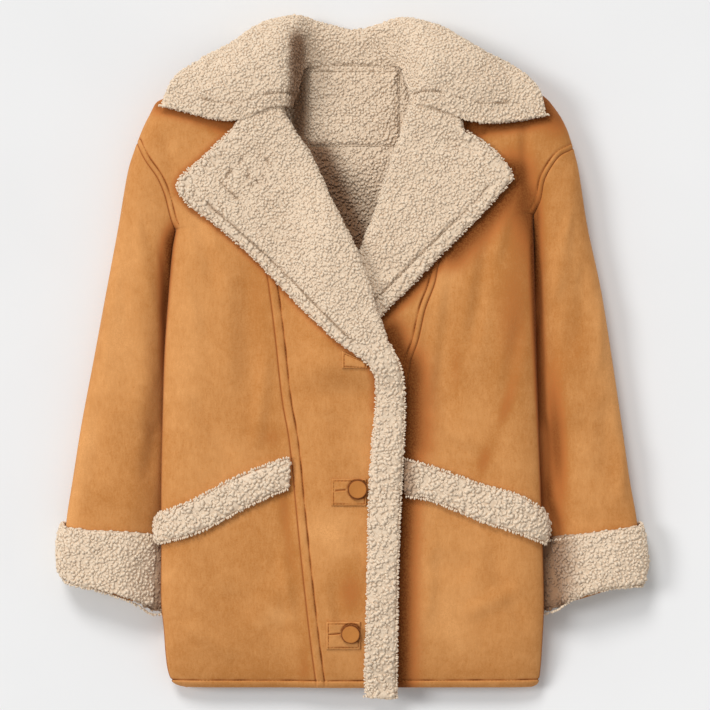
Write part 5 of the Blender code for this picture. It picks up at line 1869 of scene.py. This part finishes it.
class COAT_OT_cuffs(bpy.types.Operator):
    """Make the pile of the turned-up cuffs"""

    bl_idname = "coat.cuffs"
    bl_label = "Cuffs"

    def execute(self, context):
        depth = context.scene.coat_sizes.pile_depth / MM
        for side in SIDES:
            rings, station, turn = cuff_grid(side)
            behind = smooth((flap_turn(side, station) - turn) / FLAP_FADE)
            behind = behind + 0.5 * smooth((turn - FLAP_BACK) / FLAP_FADE)
            inner_part = 0.0
            if side == "right":
                mouth = mix(*CUFF_MOUTH, smooth(turn / CUFF_MOUTH_TURN))
                beyond = smooth((station - mouth) / CUFF_MOUTH_FADE) * ramp(turn, 1.0, 0.9)
                behind = np.maximum(behind, beyond)
            else:
                inner_part = CUFF_DARK * ramp(rings[..., 0], *CUFF_DARK_X) * ramp(rings[..., 2], *CUFF_DARK_Z)
            # Painted shade behind the front flap, inside the right cuff's mouth and on the left cuff beside
            # the body.
            dim = np.maximum(CUFF_SHADE[side] * behind, inner_part)
            piece = pile_base("pile_cuff_" + side, rings, cuff_lines(side, CUFF_TOP), depth, 0.6, True,
                              lowered=FLAP_STEP * behind, shaded=dim)
            dressed(piece, "sherpa_pile", "sherpa_pile", "cuff_" + side)
        return {"FINISHED"}


def neck_shade(place):
    """How much painted shade the pile gets deep inside the neck, on the right and under the right front's
    roll.
    """
    roll = mix(*NECK_ROLL, (place[..., 1] - NECK_ROLL_Y[0]) / (NECK_ROLL_Y[1] - NECK_ROLL_Y[0]))
    stand = bump(place[..., 0] - STAND_SHADE_X, STAND_REACH) * faded(place, STAND_FADES)
    front = bump(place[..., 0] - roll, ROLL_REACH) * faded(place, ROLL_FADES)
    return clamp(NECK_DARK * (stand + front))


class COAT_OT_collar(bpy.types.Operator):
    """Make the pile of the collar"""

    bl_idname = "coat.collar"
    bl_label = "Collar"

    def execute(self, context):
        depth = context.scene.coat_sizes.pile_depth / MM
        rings = collar_rings()
        # Painted shade where the collar lies deep inside the neck.
        piece = pile_base("pile_collar", rings, collar_lines(COLLAR_HALF_WALL), depth, 0.3,
                          shaded=neck_shade(rings))
        dressed(piece, "sherpa_pile", "sherpa_pile", "collar")
        return {"FINISHED"}


class COAT_OT_lapels(bpy.types.Operator):
    """Make the pile of the lapels and the front band"""

    bl_idname = "coat.lapels"
    bl_label = "Lapels and band"

    def execute(self, context):
        depth = context.scene.coat_sizes.pile_depth / MM
        for side, name, rows in FACING_PIECES:
            rings = facing_grid(side, rows)
            beside_edge = 1.0 - smooth((near_line(rings, [edge_line(side, 1, 0.0, 1.0)]) - 15.0) / 8.0)
            coarse = 0.6 * np.maximum(beside_edge, 1.0 - smooth(rings[..., 1] / 30.0))
            piece = pile_base("pile_" + name, rings, facing_lines(side, LEAF_TOP), depth, 0.0, coarse=coarse)
            dressed(piece, "sherpa_pile", "sherpa_pile", name)
        return {"FINISHED"}


class COAT_OT_pocket_welts(bpy.types.Operator):
    """Make the pile of the pocket welts"""

    bl_idname = "coat.pocket_welts"
    bl_label = "Pocket welts"

    def execute(self, context):
        depth = context.scene.coat_sizes.pile_depth / MM
        for side in SIDES:
            rings = welt_grid(side)
            # Painted shade at the welts' inner ends, strongest on the left one beside the band.
            ends = smooth((np.arange(WELT_ROWS + 1) / WELT_ROWS - 0.88) / 0.12)[:, None] + 0.0 * rings[..., 0]
            piece = pile_base("pile_welt_" + side, rings, [], depth, 0.0, coarse=0.5,
                              shaded=ends * (0.7 if side == "left" else 0.1))
            dressed(piece, "sherpa_pile", "sherpa_pile", "pocket_welt_" + side)
        return {"FINISHED"}


def patch_place(corners, u, v):
    """Place on a four-cornered patch."""
    low_left, low_right, high_right, high_left = (np.array(corner, float) for corner in corners)
    low = low_left + (low_right - low_left) * u[..., None]
    high = high_left + (high_right - high_left) * u[..., None]
    place = low + (high - low) * v[..., None]
    return place[..., 0], place[..., 1]


def patch_edge_distance(corners, u, v):
    width = np.hypot(corners[1][0] - corners[0][0], corners[1][1] - corners[0][1])
    height = np.hypot(corners[3][0] - corners[0][0], corners[3][1] - corners[0][1])
    return np.minimum(np.minimum(u, 1 - u) * width, np.minimum(v, 1 - v) * height)


class COAT_OT_neck_patch(bpy.types.Operator):
    """Make the pile patch inside the back neck"""

    bl_idname = "coat.neck_patch"
    bl_label = "Neck patch"

    def execute(self, context):
        depth = context.scene.coat_sizes.pile_depth / MM
        u, v = np.meshgrid(np.linspace(0, 1, 26), np.linspace(0, 1, 22))
        x, y = patch_place(NECK_PATCH, u, v)
        rim = quarter(patch_edge_distance(NECK_PATCH, u, v) / 11.0)
        base = back_inside(x, y)
        thick = NECK_PATCH_WALL + 0.4 - depth + 0.6 * wander(vec(x, y, 0), 9.0)
        top = vec(x, y, base + 0.3 + thick * rim)
        # Painted shade on the patch inside the neck.
        piece = shell("pile_neck_patch", top, vec(x, y, base + 0.1),
                      {"pile": (u * 0 + 1, u * 0), "groove": (neck_shade(top), neck_shade(top))})
        dressed(piece, "lining_pile", "lining_pile", "neck_patch")
        return {"FINISHED"}


def right_front(x, y):
    """Height of the right centre front's outer side."""
    return front_height("right", x, y) + SEAM_GAP / 2


class COAT_OT_buttonhole_patches(bpy.types.Operator):
    """Make the suede patches round the buttonholes"""

    bl_idname = "coat.buttonhole_patches"
    bl_label = "Buttonhole patches"

    def execute(self, context):
        for name, corners in PATCHES.items():
            u, v = np.meshgrid(np.linspace(0, 1, 34), np.linspace(0, 1, 30))
            x, y = patch_place(corners, u, v)
            edge = patch_edge_distance(corners, u, v)
            dent = 0.55 * bump(edge - PATCH_STITCH, 0.8) * pucker(x + y)
            if name in BUTTONS:
                away = np.hypot(x - BUTTONS[name][0], y - BUTTONS[name][1]) - BUTTON_RADIUS
                (ax, ay), (bx, by) = SLITS[name]
                share = ((x - ax) * (bx - ax) + (y - ay) * (by - ay)) / ((bx - ax) ** 2 + (by - ay) ** 2)
                aside = np.hypot(x - mix(ax, bx, clamp(share)), y - mix(ay, by, clamp(share)))
                dent = dent + 0.9 * bump(away, 1.3) + 1.2 * bump(aside, 0.8) - 0.5 * bump(aside - 1.9, 0.8)
            base = right_front(x, y) + PATCH_SEAT
            rise = PATCH_LIFT + PATCH_WALL * quarter(edge / 1.8) - dent + 0.25 * wander(vec(x, y, 0), 5.0)
            # Painted shade in the patch's stitch dents, its slit and the ring round the button.
            groove = clamp(dent / 1.1)
            piece = shell("patch_" + name, vec(x, y, base + rise), vec(x, y, base + 0.05),
                          {"groove": (groove, groove * 0)})
            dressed(piece, "suede", "suede", "buttonhole_patch_" + name)
        return {"FINISHED"}


class COAT_OT_buttons(bpy.types.Operator):
    """Make the cloth-covered buttons"""

    bl_idname = "coat.buttons"
    bl_label = "Buttons"

    def execute(self, context):
        radius, height, dark = (np.array(column)[:, None] for column in zip(*BUTTON_PROFILE))
        turn = (np.arange(BUTTON_ROUND) / BUTTON_ROUND * 2 * pi)[None, :]
        gather = 1.0 + 0.012 * np.sin(turn * BUTTON_GATHERS) * smooth((radius - 0.7) / 0.3)
        reach = (radius * gather * BUTTON_RADIUS)[..., None]
        for name, place in BUTTONS.items():
            x, y = np.array(place)
            slope_x = (right_front(x + 4, y) - right_front(x - 4, y)) / 8
            slope_y = (right_front(x, y + 4) - right_front(x, y - 4)) / 8
            up = unit(np.array([-slope_x, -slope_y, 1.0]))
            aside = unit(np.cross(up, np.array([0.0, 1.0, 0.0])))
            ahead = np.cross(up, aside)
            seat = np.array([x, y, right_front(x, y)]) + up * (PATCH_SEAT + PATCH_WALL + BUTTON_SEAT)
            rings = (seat + reach * (np.cos(turn)[..., None] * aside + np.sin(turn)[..., None] * ahead)
                     + (height * BUTTON_THICK)[..., None] * up)
            quads = grid_quads(len(BUTTON_PROFILE), BUTTON_ROUND, False, True)
            # Painted shade on the button's rim and side.
            piece = made_mesh("covered_button_" + name, rings, quads, {"groove": dark + 0 * turn})
            dressed(piece, "covered_button", "covered_button", "button_" + name)
        return {"FINISHED"}


def curled():
    """Rows of the pieces that carry curls: piece, stitched lines, finish, share of the spacing, seed."""
    sink = LEAF_TOP - GROOVE_SINK
    return (("pile_collar", collar_lines(COLLAR_HALF_WALL - GROOVE_SINK), "sherpa_pile", 1.0, 11),
            ("pile_lapel_band_right", facing_lines("right", sink), "sherpa_pile", 1.0, 12),
            ("pile_lapel_left", facing_lines("left", sink), "sherpa_pile", 1.0, 13),
            ("pile_cuff_right", cuff_lines("right", 6.5), "sherpa_pile", 1.12, 14),
            ("pile_cuff_left", cuff_lines("left", 6.5), "sherpa_pile", 1.12, 15),
            ("pile_welt_right", [], "sherpa_pile", 1.08, 16),
            ("pile_welt_left", [], "sherpa_pile", 1.08, 17),
            ("pile_neck_patch", [], "lining_pile", 1.0, 18),
            ("lining_back", neck_lines(0.0), "lining_pile", 1.0, 19))


class COAT_OT_curls(bpy.types.Operator):
    """Cover the pile pieces with curls"""

    bl_idname = "coat.curls"
    bl_label = "Curls"

    def execute(self, context):
        sizes = context.scene.coat_sizes
        collection = curl_collection(sizes.curl_length / MM, sizes.curl_thickness / MM)
        tree = curl_tree()
        for name, lines, finish, share, seed in curled():
            grooves = mid_line(name + "_grooves", lines)
            spacing = sizes.curl_spacing * share
            values = {"Curls": collection, "Grooves": grooves, "Spacing": spacing,
                      "Most": CURLS_PER_SPACING / spacing ** 2, "Size": share, "Seed": seed,
                      "Material": finish_named(finish)}
            label = "curls_" + name.split("_", 1)[1]
            piece = grown(bpy.data.objects[name], label, tree, values, remove=False)
            bpy.data.objects.remove(grooves)
            dressed(piece, finish, finish)
        cleared(collection)
        return {"FINISHED"}


def tuft_lines():
    """Edges of the pile pieces with the ways that their locks point."""
    rows = {}
    for side, name, _ in FACING_PIECES:
        share = np.linspace(0.0, 0.995, 260)
        _, _, way_x, way_y, width = facing_across(side, share)
        way = vec(way_x, way_y, 0.25)
        rows[name] = [(facing_place(side, share, width - 2.0, 4.6 + 0 * share), unit(way))]
        low = share[share < 0.62] if side == "right" else share[:2]
        way = way[:len(low)] * np.array([-1.0, -1.0, 1.0])
        rows[name].append((facing_place(side, low, 1.6 + 0 * low, 4.4 + 0 * low), unit(way)))
    foot = np.linspace(4.0, 38.0, 20)
    rows["lapel_band_right"].append((facing_place("right", 0 * foot, foot, 4.5 + 0 * foot),
                                     np.array([0.0, -0.95, 0.3])))
    v = np.linspace(0.0, 1.0, 400)
    rim = collar_centre(0.985, v)
    rows["collar"] = [(rim, unit(rim - collar_centre(0.93, v)))]
    for end, inner in ((0.003, 0.03), (0.997, 0.97)):
        u = np.linspace(0.68, 1.0, 90)
        front = collar_centre(u, end)
        rows["collar"].append((front, unit(front - collar_centre(u, inner))))
    for side in SIDES:
        angle = np.linspace(-0.15, 1.15, 120) * pi
        upper, lower, heart = (cuff_place(side, station + 0 * angle, angle, grow + 0 * angle)
                               for station, grow in ((0.856, 5.5), (1.047, 4.0), (0.856, 0.0)))
        way, out = unit(upper - lower), unit(upper - heart)
        rows["cuff_" + side] = [(upper, unit(way + 0.35 * out)), (lower, unit(out * 0.45 - way))]
        distance = np.linspace(2.0, WELT[side][-1][0] - 1.0, 80)
        upper, middle, lower = (welt_place(side, distance, share + 0 * distance, 5.0 + 0 * distance)
                                for share in (0.04, 0.5, 0.96))
        rows["welt_" + side] = [(line, unit(unit(line - middle) + 0.3 * UP)) for line in (upper, lower)]
    x = np.linspace(-54.0, -2.0, 30)
    rows["hem"] = [(vec(x, HEM_Y + 1.5 + 0 * x, front_height("right", x, HEM_Y + 4 + 0 * x) - 5.0),
                    np.array([0.0, -0.98, -0.1]))]
    return rows


class COAT_OT_tufts(bpy.types.Operator):
    """Set pointed locks along the edges of the pile"""

    bl_idname = "coat.tufts"
    bl_label = "Tufts"

    def execute(self, context):
        collection = tuft_collection(context.scene.coat_sizes.tuft_length / MM)
        tree = line_tree("tuft_row", True)
        for name, lines in tuft_lines().items():
            source = line_object(name + "_tuft_lines", lines)
            small = 0.6 if name == "hem" else 1.0
            values = {"Pieces": collection, "Pitch": TUFT_PITCH / small, "Size": (small, small, small),
                      "Lean": (0.7, 0.6, pi), "Seed": 31, "Material": finish_named("sherpa_pile")}
            piece = grown(source, "tufts_" + name, tree, values)
            dressed(piece, "sherpa_pile", "sherpa_pile")
        cleared(collection)
        return {"FINISHED"}


def patch_lines():
    """Stitched line round each buttonhole patch."""
    lines = {}
    for name, corners in PATCHES.items():
        a = PATCH_STITCH / (corners[1][0] - corners[0][0])
        b = PATCH_STITCH / max(corners[3][1] - corners[0][1], 8.0)
        u, v = strokes(((a, b), (1 - a, b), (1 - a, 1 - b), (a, 1 - b), (a, b)), 20)
        x, y = patch_place(corners, u, v)
        height = right_front(x, y) + PATCH_SEAT + PATCH_LIFT + PATCH_WALL - PATCH_STITCH_SINK
        lines["patch_" + name] = [(vec(x, y, height), UP)]
    return lines


class COAT_OT_stitches(bpy.types.Operator):
    """Sew the stitches on the suede, and those that are sunk into the pile"""

    bl_idname = "coat.stitches"
    bl_label = "Stitches"

    def execute(self, context):
        sizes = context.scene.coat_sizes
        tree = line_tree("stitch_row", False)
        sunk = {"collar": collar_lines(COLLAR_HALF_WALL - STITCH_SINK), "neck": neck_lines(0.4),
                "lapel_band_right": facing_lines("right", LEAF_TOP - STITCH_SINK),
                "lapel_left": facing_lines("left", LEAF_TOP - STITCH_SINK)}
        for name, rows in {**panel_lines(), **patch_lines(), **sunk}.items():
            finish, slot, wide = "thread", "suede", 1.0
            if name in sunk:
                finish, slot, wide = "pile_thread", "sherpa_pile", 1.5
            source = line_object(name + "_stitch_lines", rows)
            size = (sizes.stitch_length * wide ** 0.5, sizes.thread_thickness * 1.25 * wide,
                    sizes.thread_thickness * wide)
            values = {"Pitch": sizes.stitch_pitch, "Size": size, "Lean": (0.0, 0.0, 0.12), "Seed": 21,
                      "Material": finish_named(finish)}
            piece = grown(source, "stitches_" + name, tree, values)
            dressed(piece, finish, slot)
        return {"FINISHED"}


class COAT_OT_cloth(bpy.types.Operator):
    """Step that is left empty: it states no sheets of cloth and no cut sizes"""

    bl_idname = "coat.cloth"
    bl_label = "Cut sizes"

    def execute(self, context):
        return {"FINISHED"}


class COAT_OT_stage(bpy.types.Operator):
    """Set the floor, the light and the camera"""

    bl_idname = "coat.stage"
    bl_label = "Stage"

    def execute(self, context):
        scene = context.scene
        corners = [(x * FLOOR_HALF, y * FLOOR_HALF, FLOOR_LEVEL)
                   for x, y in ((-1, -1), (1, -1), (1, 1), (-1, 1))]
        mesh = bpy.data.meshes.new("floor")
        mesh.from_pydata(corners, [], [(0, 1, 2, 3)])
        floor = linked("floor", mesh)
        floor.data.materials.append(finish_named("floor"))

        world = bpy.data.worlds.new("soft_room")
        world.use_nodes = True
        world.node_tree.nodes.clear()
        nodes = Nodes(world.node_tree)
        sky = nodes.add("ShaderNodeBackground", None, {"Color": (1.0, 1.0, 1.0, 1.0), "Strength": ROOM_LIGHT})
        nodes.add("ShaderNodeOutputWorld", None, {"Surface": sky})
        scene.world = world

        for name, energy, way in WINDOWS:
            sun = bpy.data.lights.new(name, "SUN")
            sun.energy = energy
            sun.angle = WINDOW_WIDTH
            linked(name, sun).rotation_euler = Vector(way).to_track_quat("-Z", "Y").to_euler()

        view = bpy.data.cameras.new("camera")
        view.lens = LENS
        view.sensor_width = SENSOR
        view.clip_end = VIEW_END
        scene.camera = linked("camera", view)
        scene.camera.location = CAMERA_PLACE
        scene.view_settings.view_transform = "Standard"
        return {"FINISHED"}


MAKERS = (COAT_OT_suede_panels, COAT_OT_sleeves, COAT_OT_lining, COAT_OT_cuffs, COAT_OT_collar,
          COAT_OT_lapels, COAT_OT_pocket_welts, COAT_OT_neck_patch, COAT_OT_buttonhole_patches,
          COAT_OT_buttons, COAT_OT_curls, COAT_OT_tufts, COAT_OT_stitches, COAT_OT_stage, COAT_OT_cloth)


class COAT_PT_panel(bpy.types.Panel):
    """Steps that make the coat, with its sizes and colours"""

    bl_idname = "COAT_PT_panel"
    bl_label = "Shearling Coat"
    bl_space_type = "VIEW_3D"
    bl_region_type = "UI"
    bl_category = "Coat"

    def draw(self, context):
        for group in (context.scene.coat_sizes, context.scene.coat_colours):
            for name in group.bl_rna.properties.keys():
                if name not in ("rna_type", "name"):
                    self.layout.prop(group, name)
        for maker in MAKERS:
            self.layout.operator(maker.bl_idname)


CLASSES = (CoatSizes, CoatColours) + MAKERS + (COAT_PT_panel,)


def register():
    for one in CLASSES:
        bpy.utils.register_class(one)
    bpy.types.Scene.coat_sizes = bpy.props.PointerProperty(type=CoatSizes)
    bpy.types.Scene.coat_colours = bpy.props.PointerProperty(type=CoatColours)


def unregister():
    del bpy.types.Scene.coat_colours
    del bpy.types.Scene.coat_sizes
    for one in reversed(CLASSES):
        bpy.utils.unregister_class(one)


def main():
    """Make the coat."""
    register()
    for maker in MAKERS:
        group, name = maker.bl_idname.split(".")
        getattr(getattr(bpy.ops, group), name)()


if __name__ == "__main__":
    main()
